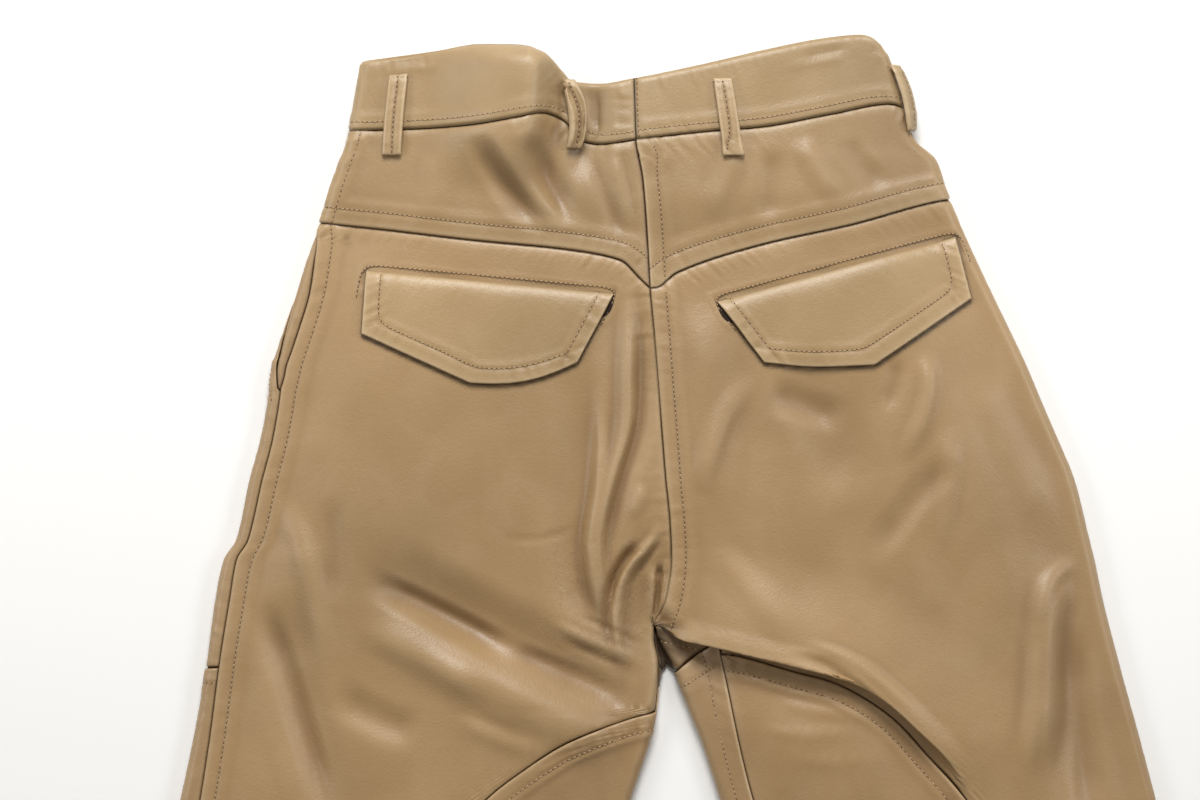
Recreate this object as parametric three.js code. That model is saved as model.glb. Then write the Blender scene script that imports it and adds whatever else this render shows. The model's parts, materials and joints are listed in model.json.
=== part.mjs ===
// Leather trousers laid flat on their front, with the back up.
//
// Millimetres. Z = 0 is the surface they lie on, +Y points to the waist, and +X to the right of
// someone who looks down on the back. The laid garment is one flattened tube from the waist to the
// crotch and two below it. A place on the leather is given by the side whose outer fold it is
// measured from, the arc along the leather from that fold (positive over the back, negative under
// the front) and y. Every panel is a patch between seams in those coordinates, so neighbours share
// their seam points, and it gets its wall along the leather's own normals.
import * as THREE from 'three';

// ---------------------------------------------------------------- driving dimensions
const SEAM_GAP = 0.3;
const LEATHER = 1.4;                // a panel's wall
const WAISTBAND_THICKNESS = 2.8;    // outer leather, stay and facing, sewn as one
const WAISTBAND_LIFT = 0.9;         // its outer face stands this far over the panels
const LAP_LIFT = 0.4;               // and that of a piece whose edge laps over its neighbour's
const FLAP_THICKNESS = 2.4;
const FLAP_CLEARANCE = 0.95;
const LOOP_THICKNESS = 2.2;
const FRONT_LOOP_CLEARANCE = 0.4;
const LOOP_WIDTH = 11.5;
const ZIP_WIDTH = 28;
const ZIP_LENGTH = 150;
const ZIP_THICKNESS = 1.2;
const ZIP_CLEARANCE = 0.8;          // behind the front panels
const EDGE_RADIUS = 5.5;            // round of a folded edge, half of its laid height
const CROTCH = { x: 33, y: -135, height: 8, radius: 2.6 };
const SLIT = 0.4;                   // between the legs just below the crotch
const HEM = { y: -872, tilt: 0.09, left: -215, right: 319 };
const FRONT_RISE = WAISTBAND_LIFT + FRONT_LOOP_CLEARANCE + LOOP_THICKNESS;
const FRONT_RISES = { from: 92, over: 34 };           // y where the underside starts to rise, and how fast
const CROTCH_OPENS = { radius: 18, half: 40 };        // below the crotch the inner fold gets round over these
const SWELL = { outer: 40, inner: 35, level: 60 };    // how far in from the folds the loft builds up
const CALM = 16;                                      // no fold reaches nearer than this to an edge
const FOLD_FADE = 0.3;                                // share of a fold's length over which each end fades
const FOLD_SPANS = 14;

// Silhouette from above: the outer edges, then the inner edges of the legs.
const OUTLINE = [
  { y: 230, left: -139, right: 160 },
  { y: 203, left: -143, right: 174 },
  { y: 180, left: -147, right: 181 },
  { y: 162, left: -150, right: 185 },
  { y: 153, left: -152, right: 190 },
  { y: 144, left: -155.5, right: 200.5 },
  { y: 126, left: -162, right: 207 },
  { y: 107, left: -168, right: 215 },
  { y: 84, left: -176.5, right: 225.5 },
  { y: 60, left: -184, right: 237 },
  { y: 30, left: -194, right: 251.5 },
  { y: 18, left: -198, right: 257 },
  { y: 0, left: -200, right: 264.5 },
  { y: -24, left: -204.5, right: 275 },
  { y: -48, left: -211, right: 285 },
  { y: -84, left: -219, right: 294 },
  { y: -96, left: -226.5, right: 297 },
  { y: -120, left: -231.5, right: 302 },
  { y: -160, left: -237, right: 312 },
  { y: -200, left: -244, right: 323 },
  { y: -240, left: -252.5, right: 333.5 },
  { y: -300, left: -266, right: 349 },
  { y: -380, left: -280, right: 366 },
  { y: -470, left: -290, right: 381 },
  { y: -600, left: -299, right: 396 },
  { y: -740, left: -307, right: 408 },
  { y: -900, left: -314, right: 418 },
];
const INNER_EDGES = [
  { y: -135, left: 33, right: 33 },
  { y: -144, left: 33.5, right: 36 },
  { y: -160, left: 36.5, right: 43.8 },
  { y: -172, left: 35.5, right: 48 },
  { y: -186, left: 34, right: 53 },
  { y: -204, left: 30.5, right: 60.3 },
  { y: -222, left: 24.5, right: 66.3 },
  { y: -240, left: 18.5, right: 72 },
  { y: -300, left: 1, right: 90 },
  { y: -380, left: -22, right: 114 },
  { y: -470, left: -52, right: 143 },
  { y: -600, left: -83, right: 180 },
  { y: -740, left: -104, right: 205 },
  { y: -900, left: -119, right: 223 },
];

// Seams that run down the garment, as x or as the arc from the outer fold.
const SEAT_SEAM = [
  { y: 192, x: 20.4 }, { y: 156, x: 21.6 }, { y: 132, x: 25.8 }, { y: 102, x: 28.2 },
  { y: 69, x: 30 }, { y: 42, x: 32.4 }, { y: 12, x: 34.8 }, { y: -18, x: 37.2 },
  { y: -48, x: 39.6 }, { y: -72, x: 42 }, { y: -96, x: 43 }, { y: -114, x: 40.8 },
  { y: -135, x: 33 },
];
const FRONT_SEAM = [{ y: 190, x: 22 }, { y: 100, x: 26 }, { y: 0, x: 32 }, { y: -135, x: 33 }];
const SIDE_SEAMS = [
  { y: 175, left: 1, right: -8 },
  { y: 103, left: 1.5, right: -12 },
  { y: 93, left: 6.5, right: -12 },
  { y: 54, left: 12.3, right: -13 },
  { y: 15, left: 12.5, right: -13 },
  { y: 5, left: 10.8, right: -13 },
  { y: -48, left: 11.5, right: -14 },
  { y: -78, left: 11, right: -14 },
  { y: -120, left: 12.4, right: -14 },
  { y: -156, left: 11.5, right: -13 },
  { y: -204, left: 13.6, right: -13 },
  { y: -240, left: 15.7, right: -13 },
  { y: -300, left: 18, right: -12 },
  { y: -470, left: 14, right: -12 },
  { y: -900, left: 8, right: -8 },
];
// The left inseam runs down the inner fold, then slips to the underside: over is the arc past its top.
const LEFT_INSEAM = [
  { y: -144, over: 6.2 }, { y: -161, over: 8 }, { y: -187, over: 8.6 },
  { y: -240, over: 18 }, { y: -300, over: 30 }, { y: -470, over: 28 }, { y: -900, over: 22 },
];
// The right inseam lies on top of its leg.
const RIGHT_INSEAM = [
  { y: -135, x: 33 }, { y: -147, x: 71.2 }, { y: -153, x: 72.5 }, { y: -171.6, x: 76.2 },
  { y: -204, x: 82.8 }, { y: -240, x: 91.8 }, { y: -300, x: 112 }, { y: -380, x: 136 },
  { y: -470, x: 163 }, { y: -600, x: 196 }, { y: -740, x: 217 }, { y: -900, x: 233 },
];

// Seams that run across it.
const BAND_TOP = [
  { x: -143, back: 203, front: 203 },
  { x: -96, back: 209, front: 192 },
  { x: -72, back: 212.4, front: 189 },
  { x: -48, back: 211.8, front: 186 },
  { x: -33, back: 207, front: 185 },
  { x: -22.8, back: 197, front: 184 },
  { x: -16.8, back: 190.5, front: 183.5 },
  { x: 0, back: 189, front: 183 },
  { x: 19, back: 192, front: 183 },
  { x: 60, back: 200.4, front: 184 },
  { x: 96, back: 208.8, front: 187 },
  { x: 138, back: 217.2, front: 194 },
  { x: 156, back: 219, front: 198 },
  { x: 168, back: 214.8, front: 201.5 },
  { x: 174, back: 204, front: 204 },
];
const BAND_SEAM = [
  { x: -150, back: 161.5, front: 161.5 },
  { x: -120, back: 162, front: 154 },
  { x: -78, back: 163.8, front: 149 },
  { x: -48, back: 168, front: 146 },
  { x: -33, back: 171, front: 145 },
  { x: -22.2, back: 167.4, front: 144 },
  { x: -9, back: 154.4, front: 143.5 },
  { x: 0, back: 153, front: 143 },
  { x: 24, back: 156, front: 143 },
  { x: 60, back: 160.2, front: 144.5 },
  { x: 96, back: 163.2, front: 148 },
  { x: 138, back: 171, front: 157 },
  { x: 174, back: 177.5, front: 169 },
  { x: 184, back: 174, front: 174 },
];
const YOKE_SEAM = [
  { x: -169, y: 106.5 }, { x: -138, y: 103.2 }, { x: -78, y: 96 }, { x: -18, y: 90 },
  { x: 12, y: 84 }, { x: 33, y: 67 }, { x: 45, y: 76 }, { x: 96, y: 93 }, { x: 150, y: 105 },
  { x: 207, y: 120 }, { x: 216, y: 121 },
];
// The seam of the inner leg piece: round below the seat, then down the middle of the leg.
const INNER_LEG_SEAM = {
  left: [
    { x: 19.2, y: -191.2 }, { x: -19.8, y: -205.5 }, { x: -48.6, y: -223.8 }, { x: -65.4, y: -236.8 },
    { x: -86, y: -258 }, { x: -103, y: -286 }, { x: -118, y: -326 }, { x: -132, y: -380 },
    { x: -152, y: -480 }, { x: -172, y: -600 }, { x: -196, y: -740 },
  ],
  right: [
    { x: 84, y: -154.2 }, { x: 116.4, y: -163.2 }, { x: 143.4, y: -171 }, { x: 174, y: -189.6 },
    { x: 196.5, y: -213.6 }, { x: 219, y: -239.4 }, { x: 238, y: -268 }, { x: 252, y: -304 },
    { x: 262, y: -350 }, { x: 272, y: -420 }, { x: 286, y: -540 }, { x: 302, y: -700 },
  ],
};

// How far the back stands over its folded edges, down the garment.
const LOFT = [
  { y: 219, loft: 6 }, { y: 150, loft: 7 }, { y: 60, loft: 9 }, { y: -60, loft: 10 },
  { y: -140, loft: 9 }, { y: -300, loft: 8 }, { y: -600, loft: 7 }, { y: -900, loft: 5 },
];
// Largest folds. Each runs from, by way of and to a place, and rises or sinks over the loft. left and
// right are its half widths beside someone who walks along it, so a steep side has a small one.
const FOLDS = [
  { name: 'band bulge', from: [-40, 222], via: [-41, 190], to: [-50, 118], rise: 17, left: 22, right: 64 },
  { name: 'band dip', from: [-6, 200], via: [-5, 165], to: [-14, 128], rise: -4, left: 20, right: 12 },
  { name: 'drape under band', from: [2, 158], via: [-16, 132], to: [-84, 108], rise: -5, left: 16, right: 16 },
  { name: 'slant under bulge', from: [-50, 165], via: [-66, 136], to: [-122, 112], rise: 4, left: 16, right: 18 },
  { name: 'seat ridge', from: [-2, 96], via: [26, 0], to: [-10, -92], rise: 6, left: 16, right: 15 },
  { name: 'left seat trough', from: [-14, 0], via: [-20, -50], to: [-14, -112], rise: -4, left: 14, right: 16 },
  { name: 'seam trough', from: [18, 0], via: [17, -70], to: [30, -128], rise: -5, left: 14, right: 12 },
  { name: 'left thigh trough', from: [-150, -92], via: [-48, -150], to: [32, -186], rise: -8, left: 30, right: 26 },
  { name: 'left thigh ridge', from: [-128, -140], via: [-40, -186], to: [20, -214], rise: 4, left: 22, right: 22 },
  { name: 'left outer trough', from: [-196, -112], via: [-182, -180], to: [-158, -262], rise: -5, left: 24, right: 24 },
  { name: 'right seat swell', from: [60, 66], via: [66, 0], to: [62, -104], rise: 4, left: 26, right: 26 },
  { name: 'right seat trough', from: [112, 34], via: [134, -10], to: [150, -66], rise: -3, left: 30, right: 24 },
  { name: 'seat roll', from: [36, -128], via: [150, -150], to: [240, -276], rise: 12, left: 60, right: 17 },
  { name: 'roll foot', from: [50, -152], via: [150, -172], to: [232, -290], rise: -4, left: 14, right: 34 },
  { name: 'outer ridge', from: [268, -88], via: [276, -150], to: [262, -226], rise: 5, left: 16, right: 18 },
  { name: 'outer trough', from: [284, -132], via: [282, -190], to: [300, -268], rise: -5, left: 16, right: 14 },
  { name: 'left knee crease', from: [-254, -420], via: [-170, -452], to: [-92, -430], rise: -5, left: 20, right: 26 },
  { name: 'right knee crease', from: [346, -430], via: [270, -462], to: [190, -438], rise: -5, left: 26, right: 20 },
  { name: 'left shin ridge', from: [-196, -500], via: [-222, -600], to: [-214, -740], rise: 4, left: 34, right: 26 },
  { name: 'right shin ridge', from: [286, -510], via: [318, -610], to: [318, -740], rise: 4, left: 26, right: 34 },
];

// Back pocket flaps: the inner end of the top edge and how far its outer end rises.
const FLAPS = [
  { side: 'left', x: 8.7, y: 64.2, degrees: 5.4 },
  { side: 'right', x: 69.3, y: 59.4, degrees: 15.2 },
];
const FLAP_CORNERS = { topOuter: [149, 0], bottomOuter: [148, 39], point: [81, 62], bottomInner: [18, 43.5] };

// Belt loops: the middle of both ends in plan, or the arc of one that lies on the folded edge. stand is
// how far the middle bridges the waistband, and clear how far the ends stay off it.
const LOOPS = [
  { side: 'left', top: [-120, 195], bottom: [-124.2, 145.8], stand: 2.6, clear: 0.4, columns: 2 },
  { side: 'left', top: [-15, 187], bottom: [-11, 142], width: 6.5, stand: 3.4, clear: 1.4, columns: 2 },
  { side: 'right', top: [73, 192], bottom: [79.8, 145.2], stand: 2.6, clear: 0.4, columns: 2 },
  { side: 'right', arc: 3, top: [0, 200], bottom: [0, 160], stand: 3.6, clear: 0.9, columns: 4 },
  { side: 'left', under: true, top: [-72, 184], bottom: [-72, 136], stand: 0, clear: FRONT_LOOP_CLEARANCE, columns: 1 },
  { side: 'right', under: true, top: [112, 184], bottom: [112, 140], stand: 0, clear: FRONT_LOOP_CLEARANCE, columns: 1 },
];

// Faces along each stretch of seam, the same for both pieces that meet there.
const STEPS = {
  yokeDown: 4, pocketDown: 7, hipDown: 7, thighDown: 4, legDown: 19,
  seatDown: 15, crotchDown: 3, underCrotch: 1, innerLegDown: 18, frontDown: 19,
  backAcross: 16, innerLegAcross: 8, facingAcross: 3, frontAcross: 9, wrapAcross: 4, bandDown: 3,
};
// Faces down the legs: 0 for even ones, 1 for the shortest at the top.
const LEG_SPACING = { side: 0.55, inseam: 0.6, innerLeg: 0.62 };
const FLAP_STEPS = { across: 10, down: 4 };
const LOOP_STEPS = { bridging: 8, flat: 3 };
const ZIP_STEPS = 12;
const CURVE_SAMPLES = 240;
const SLOPE_STEP = 0.4;
const LONGEST_ARC = 1200;
const HALVINGS = 44;
const LEAST_MITRE = 0.12;
const MOST_FLIPS = 20000;
const POCKET_MOUTH = { left: 5, right: 8 };        // y where the slanted pocket ends on the side seam
const POCKET_TOP_REACH = 62;                       // from the outer fold to its top on the waistband
const THIGH_SEAM = { left: -161, right: -161, innerDrop: 2.8 };
const HIP_LEVEL = -110;                            // faces on the side seam are shorter below it
const YOKE_SIDE = { left: 106.5, right: 121 };
const YOKE_AT_SEAT = 67;
const BAND_SIDE = { left: 161.5, right: 174 };
// y near which the seat and front seams meet the waistband's two edges.
const BAND_LEVEL = { seatSeam: 156, frontSeam: 143, seatTop: 192, frontTop: 183 };
const ZIP_TOP = 139;
const SLIDER = { drop: 2, length: 10, width: 8, thickness: 2.4 };
const HOOK = { top: 169, bottom: 157, width: 20, thickness: 1 };
const INSEAM_AT_THIGH = { left: -161, right: -146 };
const INSEAM_AT_INNER_LEG = { left: -187, right: -153 };
const EDGE_STRETCH = 7;                            // finer faces round the folded edges
const STRETCH_FADE = 70;

const TAN = new THREE.Color(0xaf9069);
const METAL = new THREE.Color(0xb9b2a2);

// ---------------------------------------------------------------- small maths
const mix = (a, b, t) => a + (b - a) * t;
const clamp01 = (t) => Math.min(1, Math.max(0, t));
const smooth = (t) => clamp01(t) ** 2 * (3 - 2 * clamp01(t));
const quarterArc = (a, b) => (Math.PI / 2) * Math.sqrt((a * a + b * b) / 2);
const EDGE_QUARTER = quarterArc(EDGE_RADIUS, EDGE_RADIUS);

/** A smooth function through table rows that never overshoots between them. */
function through(rows, from, to) {
  const table = [...rows].sort((a, b) => a[from] - b[from]);
  const xs = table.map((row) => row[from]);
  const ys = table.map((row) => row[to]);
  const secants = xs.slice(1).map((x, k) => (ys[k + 1] - ys[k]) / (x - xs[k]));
  const slopes = xs.map((_, k) => {
    const before = secants[Math.max(0, k - 1)];
    const after = secants[Math.min(secants.length - 1, k)];
    return before * after <= 0 ? 0 : (2 * before * after) / (before + after);
  });
  return (x) => {
    const at = Math.min(xs[xs.length - 1], Math.max(xs[0], x));
    let k = 0;
    while (k < xs.length - 2 && at > xs[k + 1]) k += 1;
    const span = xs[k + 1] - xs[k];
    const t = (at - xs[k]) / span;
    const rise = (3 - 2 * t) * t * t;
    return ys[k] * (1 - rise) + ys[k + 1] * rise
      + span * t * (1 - t) * (slopes[k] * (1 - t) - slopes[k + 1] * t);
  };
}

// ---------------------------------------------------------------- the laid leather
const SIDES = Object.fromEntries(['left', 'right'].map((name) => [name, {
  name,
  inward: name === 'left' ? 1 : -1,
  outer: through(OUTLINE, 'y', name),
  inner: through(INNER_EDGES, 'y', name),
  sideSeam: through(SIDE_SEAMS, 'y', name),
}]));
const seatSeam = through(SEAT_SEAM, 'y', 'x');
const frontSeam = through(FRONT_SEAM, 'y', 'x');
const rightInseam = through(RIGHT_INSEAM, 'y', 'x');
const leftInseamOver = through(LEFT_INSEAM, 'y', 'over');
const loft = through(LOFT, 'y', 'loft');
const bandTop = { back: through(BAND_TOP, 'x', 'back'), front: through(BAND_TOP, 'x', 'front') };
const bandSeam = { back: through(BAND_SEAM, 'x', 'back'), front: through(BAND_SEAM, 'x', 'front') };
const yokeSeam = through(YOKE_SEAM, 'x', 'y');

/** The underside is flat, and rises by the front belt loops' thickness under the waistband. */
const floorRise = (y) => FRONT_RISE * smooth((y - FRONT_RISES.from) / FRONT_RISES.over);

/** Section of a leg's inner fold, which grows from the tight crotch to a round edge. */
function innerFold(side, y) {
  const below = CROTCH.y - y;
  const radius = mix(CROTCH.radius, EDGE_RADIUS, smooth(below / CROTCH_OPENS.radius));
  const half = mix(CROTCH.height / 2, EDGE_RADIUS, smooth(below / CROTCH_OPENS.half));
  const width = Math.abs(side.inner(Math.min(y, CROTCH.y)) - side.outer(y)) - SLIT / 2;
  return { radius, half, width, quarter: quarterArc(radius, half), straight: width - EDGE_RADIUS - radius };
}

const foldCurves = FOLDS.map((fold) => {
  const ends = [fold.from, fold.via, fold.to].map(([x, y]) => new THREE.Vector2(x, y));
  const points = new THREE.QuadraticBezierCurve(...ends).getPoints(FOLD_SPANS);
  const reach = Math.max(fold.left, fold.right);
  return { ...fold, points, box: new THREE.Box2().setFromPoints(points).expandByScalar(reach) };
});

/** Height that one fold adds at a place: a cosine hump across it, fading out at both ends. */
function foldHeight(fold, x, y) {
  if (!fold.box.containsPoint(new THREE.Vector2(x, y))) return 0;
  let nearest = { distance: Infinity, along: 0, cross: 0 };
  fold.points.slice(1).forEach((end, k) => {
    const start = fold.points[k];
    const [dx, dy] = [end.x - start.x, end.y - start.y];
    const t = clamp01(((x - start.x) * dx + (y - start.y) * dy) / (dx * dx + dy * dy));
    const [px, py] = [x - start.x - dx * t, y - start.y - dy * t];
    const distance = Math.hypot(px, py);
    if (distance < nearest.distance) {
      nearest = { distance, along: (k + t) / (fold.points.length - 1), cross: dx * py - dy * px };
    }
  });
  const width = nearest.cross > 0 ? fold.left : fold.right;
  if (nearest.distance >= width) return 0;
  const ends = smooth(nearest.along / FOLD_FADE) * smooth((1 - nearest.along) / FOLD_FADE);
  return fold.rise * ends * 0.5 * (1 + Math.cos((Math.PI * nearest.distance) / width));
}

/** Height of the back's outer face over the surface below. */
function backHeight(x, y) {
  const legSide = x < CROTCH.x ? SIDES.left : SIDES.right;
  const isLeg = y <= CROTCH.y;
  const innerX = legSide.inner(Math.min(y, CROTCH.y));
  const toCrotch = Math.hypot(x - CROTCH.x, y - CROTCH.y);
  const toInner = isLeg ? Math.max(0, (innerX - x) * legSide.inward) : toCrotch;
  const toOuter = Math.min(x - SIDES.left.outer(y), SIDES.right.outer(y) - x);
  const fold = innerFold(legSide, y);
  const inFromOuter = Math.max(0, toOuter - EDGE_RADIUS);
  const inFromInner = Math.max(0, toInner - fold.radius);
  const edge = mix(2 * fold.half, 2 * EDGE_RADIUS, smooth(inFromInner / SWELL.level));
  const swell = (1 - Math.exp(-((inFromOuter / SWELL.outer) ** 2)))
    * (1 - Math.exp(-((inFromInner / SWELL.inner) ** 2)));
  const calm = smooth(inFromOuter / CALM) * smooth(inFromInner / CALM);
  const folds = calm === 0 ? 0 : foldCurves.reduce((sum, curve) => sum + foldHeight(curve, x, y), 0);
  const height = edge + loft(y) * swell + folds * calm;
  return floorRise(y) + Math.max(height, 4 * LEATHER);
}

/** Place on the outer face of the leather at an arc from a side's outer fold. */
function place(side, arc, y, isLeg) {
  const reach = Math.abs(arc);
  const at = (across, z) => new THREE.Vector3(side.outer(y) + side.inward * across, y, z);
  if (reach < EDGE_QUARTER) {
    const turn = (arc / EDGE_QUARTER) * (Math.PI / 2);
    return at(EDGE_RADIUS * (1 - Math.cos(turn)), floorRise(y) + EDGE_RADIUS * (1 + Math.sin(turn)));
  }
  let across = EDGE_RADIUS + reach - EDGE_QUARTER;
  let onBack = arc > 0;
  if (isLeg) {
    const fold = innerFold(side, y);
    const over = reach - EDGE_QUARTER - fold.straight;
    if (over > 0 && over < 2 * fold.quarter) {
      const turn = (1 - over / fold.quarter) * (Math.PI / 2) * (onBack ? 1 : -1);
      const width = fold.width - fold.radius * (1 - Math.cos(turn));
      return at(width, floorRise(y) + fold.half * (1 + Math.sin(turn)));
    }
    if (over >= 2 * fold.quarter) {
      across = fold.width - fold.radius - (over - 2 * fold.quarter);
      onBack = !onBack;
    }
  }
  const x = side.outer(y) + side.inward * across;
  return at(across, onBack ? backHeight(x, y) : floorRise(y));
}

const isLegAt = (y) => y <= CROTCH.y + 1e-6;

/** Outer face and its normal, from the slopes of the leather. */
function placeWithNormal(side, arc, y) {
  const isLeg = isLegAt(y);
  const alongArc = place(side, arc + SLOPE_STEP, y, isLeg).sub(place(side, arc - SLOPE_STEP, y, isLeg));
  const alongY = place(side, arc, y + SLOPE_STEP, isLeg).sub(place(side, arc, y - SLOPE_STEP, isLeg));
  const normal = alongArc.cross(alongY).normalize().multiplyScalar(side.inward);
  return { point: place(side, arc, y, isLeg), normal };
}

/** Arc on the back of a place that is given by x. */
function arcAtX(side, x, y) {
  const across = (x - side.outer(y)) * side.inward;
  if (across >= EDGE_RADIUS) return EDGE_QUARTER + across - EDGE_RADIUS;
  return (EDGE_QUARTER * Math.acos(clamp01(1 - across / EDGE_RADIUS))) / (Math.PI / 2);
}

/** Plain x of an arc, which is the same over and under the outer fold. */
function xAtArc(side, arc, y) {
  const reach = Math.abs(arc);
  const round = EDGE_RADIUS * (1 - Math.cos((reach / EDGE_QUARTER) * (Math.PI / 2)));
  const across = reach < EDGE_QUARTER ? round : EDGE_RADIUS + reach - EDGE_QUARTER;
  return side.outer(y) + side.inward * across;
}

// Faces are spaced in a stretched arc, so that the round edges get more of them.
function stretch(side, arc, y) {
  const reach = Math.abs(arc);
  const fold = innerFold(side, y);
  const over = clamp01((reach - EDGE_QUARTER - fold.straight) / (2 * fold.quarter)) * 2 * fold.quarter;
  // Above the crotch the stretch at the inner fold fades out, so that it has no step there.
  const share = smooth((CROTCH.y + STRETCH_FADE - y) / STRETCH_FADE);
  const rounded = Math.min(reach, EDGE_QUARTER) + over * share;
  return Math.sign(arc) * (reach + rounded * (EDGE_STRETCH - 1));
}

function unstretch(side, stretched, y) {
  let [low, high] = [0, LONGEST_ARC];
  const goal = Math.abs(stretched);
  for (let k = 0; k < HALVINGS; k += 1) {
    const middle = (low + high) / 2;
    if (stretch(side, middle, y) < goal) low = middle;
    else high = middle;
  }
  return Math.sign(stretched) * low;
}

// ---------------------------------------------------------------- seams as rows of places
const range = (count) => Array.from({ length: count + 1 }, (_, k) => k);

/** A seam down the garment: its arc is a function of y. */
const down = (arcOf, top, bottom, count) => range(count).map((k) => {
  const y = mix(top, bottom, k / count);
  return { arc: arcOf(y), y };
});

/** Values from start to end, with shorter steps at the start: ease is 0 for even steps, 1 for the most. */
const levels = (start, end, count, ease) => range(count).map((k) => {
  const t = k / count;
  return mix(start, end, mix(t, t * t, ease));
});

/** A seam across it, between two arcs. yOf gives its y at an x, over the back and under the front. */
function across(side, from, to, count, yOf) {
  const start = stretch(side, from.arc, from.y);
  const end = stretch(side, to.arc, to.y);
  return range(count).map((k) => {
    if (k === 0) return from;
    if (k === count) return to;
    let y = mix(from.y, to.y, k / count);
    let arc = 0;
    for (let pass = 0; pass < 4; pass += 1) {
      arc = unstretch(side, mix(start, end, k / count), y);
      y = yOf(xAtArc(side, arc, y), arc > 0, k / count);
    }
    return { arc, y };
  });
}

/** A free curve through places, evenly spaced in its length. */
function curved(places, count) {
  const points = places.map(({ arc, y }) => new THREE.Vector3(arc, y, 0));
  const curve = new THREE.CatmullRomCurve3(points, false, 'centripetal');
  return curve.getSpacedPoints(count).map(({ x, y }) => ({ arc: x, y }));
}

const joined = (...stretches) => stretches.flatMap((points, k) => (k === 0 ? points : points.slice(1)));
const reversed = (points) => [...points].reverse();

/** Places between four seams: a Coons patch in stretched arc and y. */
function patch(side, { top, bottom, start, end }) {
  const flat = ({ arc, y }) => [stretch(side, arc, y), y];
  const [tops, bottoms, starts, ends] = [top, bottom, start, end].map((points) => points.map(flat));
  const [columns, rows] = [tops.length - 1, starts.length - 1];
  if (bottoms.length !== tops.length || ends.length !== starts.length) throw new Error('seams do not match');
  return starts.map((_, j) => tops.map((__, i) => {
    if (i === 0) return start[j];
    if (i === columns) return end[j];
    if (j === 0) return top[i];
    if (j === rows) return bottom[i];
    const [u, v] = [i / columns, j / rows];
    const [arc, y] = [0, 1].map((axis) => {
      const startBend = starts[j][axis] - mix(tops[0][axis], bottoms[0][axis], v);
      const endBend = ends[j][axis] - mix(tops[columns][axis], bottoms[columns][axis], v);
      return mix(tops[i][axis], bottoms[i][axis], v) + mix(startBend, endBend, u);
    });
    // Above the crotch no inner place reaches past the seat seam.
    const last = y > CROTCH.y ? arcAtX(side, seatSeam(y), y) - CROTCH.radius : Infinity;
    return { arc: Math.min(unstretch(side, arc, y), last), y };
  }));
}

// ---------------------------------------------------------------- walls
/** Grids of places as one flat net: shared places are joined, and empty faces are left out. */
function net(side, grids) {
  const places = [];
  const index = new Map();
  const faces = [];
  const indexOf = (spot) => {
    const key = `${spot.arc.toFixed(4)},${spot.y.toFixed(4)}`;
    if (!index.has(key)) {
      index.set(key, places.length);
      places.push(spot);
    }
    return index.get(key);
  };
  const addFace = (a, b, c) => {
    if (a === b || b === c || c === a) return;
    faces.push(side.inward > 0 ? [a, b, c] : [a, c, b]);
  };
  grids.forEach((grid) => {
    const row = grid[Math.floor(grid.length / 2)];
    const ahead = row[0].arc < row[row.length - 1].arc;
    for (let j = 0; j < grid.length - 1; j += 1) {
      for (let i = 0; i < grid[j].length - 1; i += 1) {
        const spots = [grid[j + 1][i], grid[j + 1][i + 1], grid[j][i + 1], grid[j][i]];
        const [a, b, c, d] = spots.map(indexOf);
        [[a, b, c], [a, c, d]].forEach(([p, q, r]) => (ahead ? addFace(p, q, r) : addFace(p, r, q)));
      }
    }
  });
  const flat = places.map(({ arc, y }) => [stretch(side, arc, y), y]);
  return { places, faces: evened(flat, faces) };
}

/** The same faces with inner edges flipped until no flip makes the smallest angle larger. */
function evened(flat, faces) {
  const between = (a, b) => [flat[b][0] - flat[a][0], flat[b][1] - flat[a][1]];
  const cross = (a, b, c) => {
    const [[ux, uy], [vx, vy]] = [between(a, b), between(a, c)];
    return ux * vy - uy * vx;
  };
  const angleAt = (a, b, c) => {
    const [[ux, uy], [vx, vy]] = [between(a, b), between(a, c)];
    return Math.atan2(Math.abs(ux * vy - uy * vx), ux * vx + uy * vy);
  };
  const result = faces.map((face) => [...face]);
  const owner = new Map();
  const own = (f) => result[f].forEach((a, k) => owner.set(`${a},${result[f][(k + 1) % 3]}`, f));
  result.forEach((_, f) => own(f));
  const queue = [...owner.keys()];
  for (let turn = 0; queue.length > 0 && turn < MOST_FLIPS; turn += 1) {
    const [a, b] = queue.pop().split(',').map(Number);
    const [f, g] = [owner.get(`${a},${b}`), owner.get(`${b},${a}`)];
    if (f === undefined || g === undefined) continue;
    const c = result[f].find((k) => k !== a && k !== b);
    const d = result[g].find((k) => k !== a && k !== b);
    const sign = Math.sign(cross(a, b, c));
    const isConvex = cross(a, d, c) * sign > 1e-6 && cross(d, b, c) * sign > 1e-6;
    if (!isConvex || angleAt(c, a, b) + angleAt(d, a, b) <= Math.PI + 1e-6) continue;
    [`${a},${b}`, `${b},${a}`].forEach((key) => owner.delete(key));
    result[f] = [a, d, c];
    result[g] = [d, b, c];
    own(f);
    own(g);
    queue.push(`${a},${d}`, `${d},${b}`, `${b},${c}`, `${c},${a}`);
  }
  return result;
}

/** Edges that only one face uses, each from its start to its end. */
function rimOf(faces) {
  const rim = new Map();
  faces.forEach(([a, b, c]) => [[a, b], [b, c], [c, a]].forEach(([p, q]) => {
    if (rim.has(`${q},${p}`)) rim.delete(`${q},${p}`);
    else rim.set(`${p},${q}`, [p, q]);
  }));
  return [...rim.values()];
}

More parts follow.
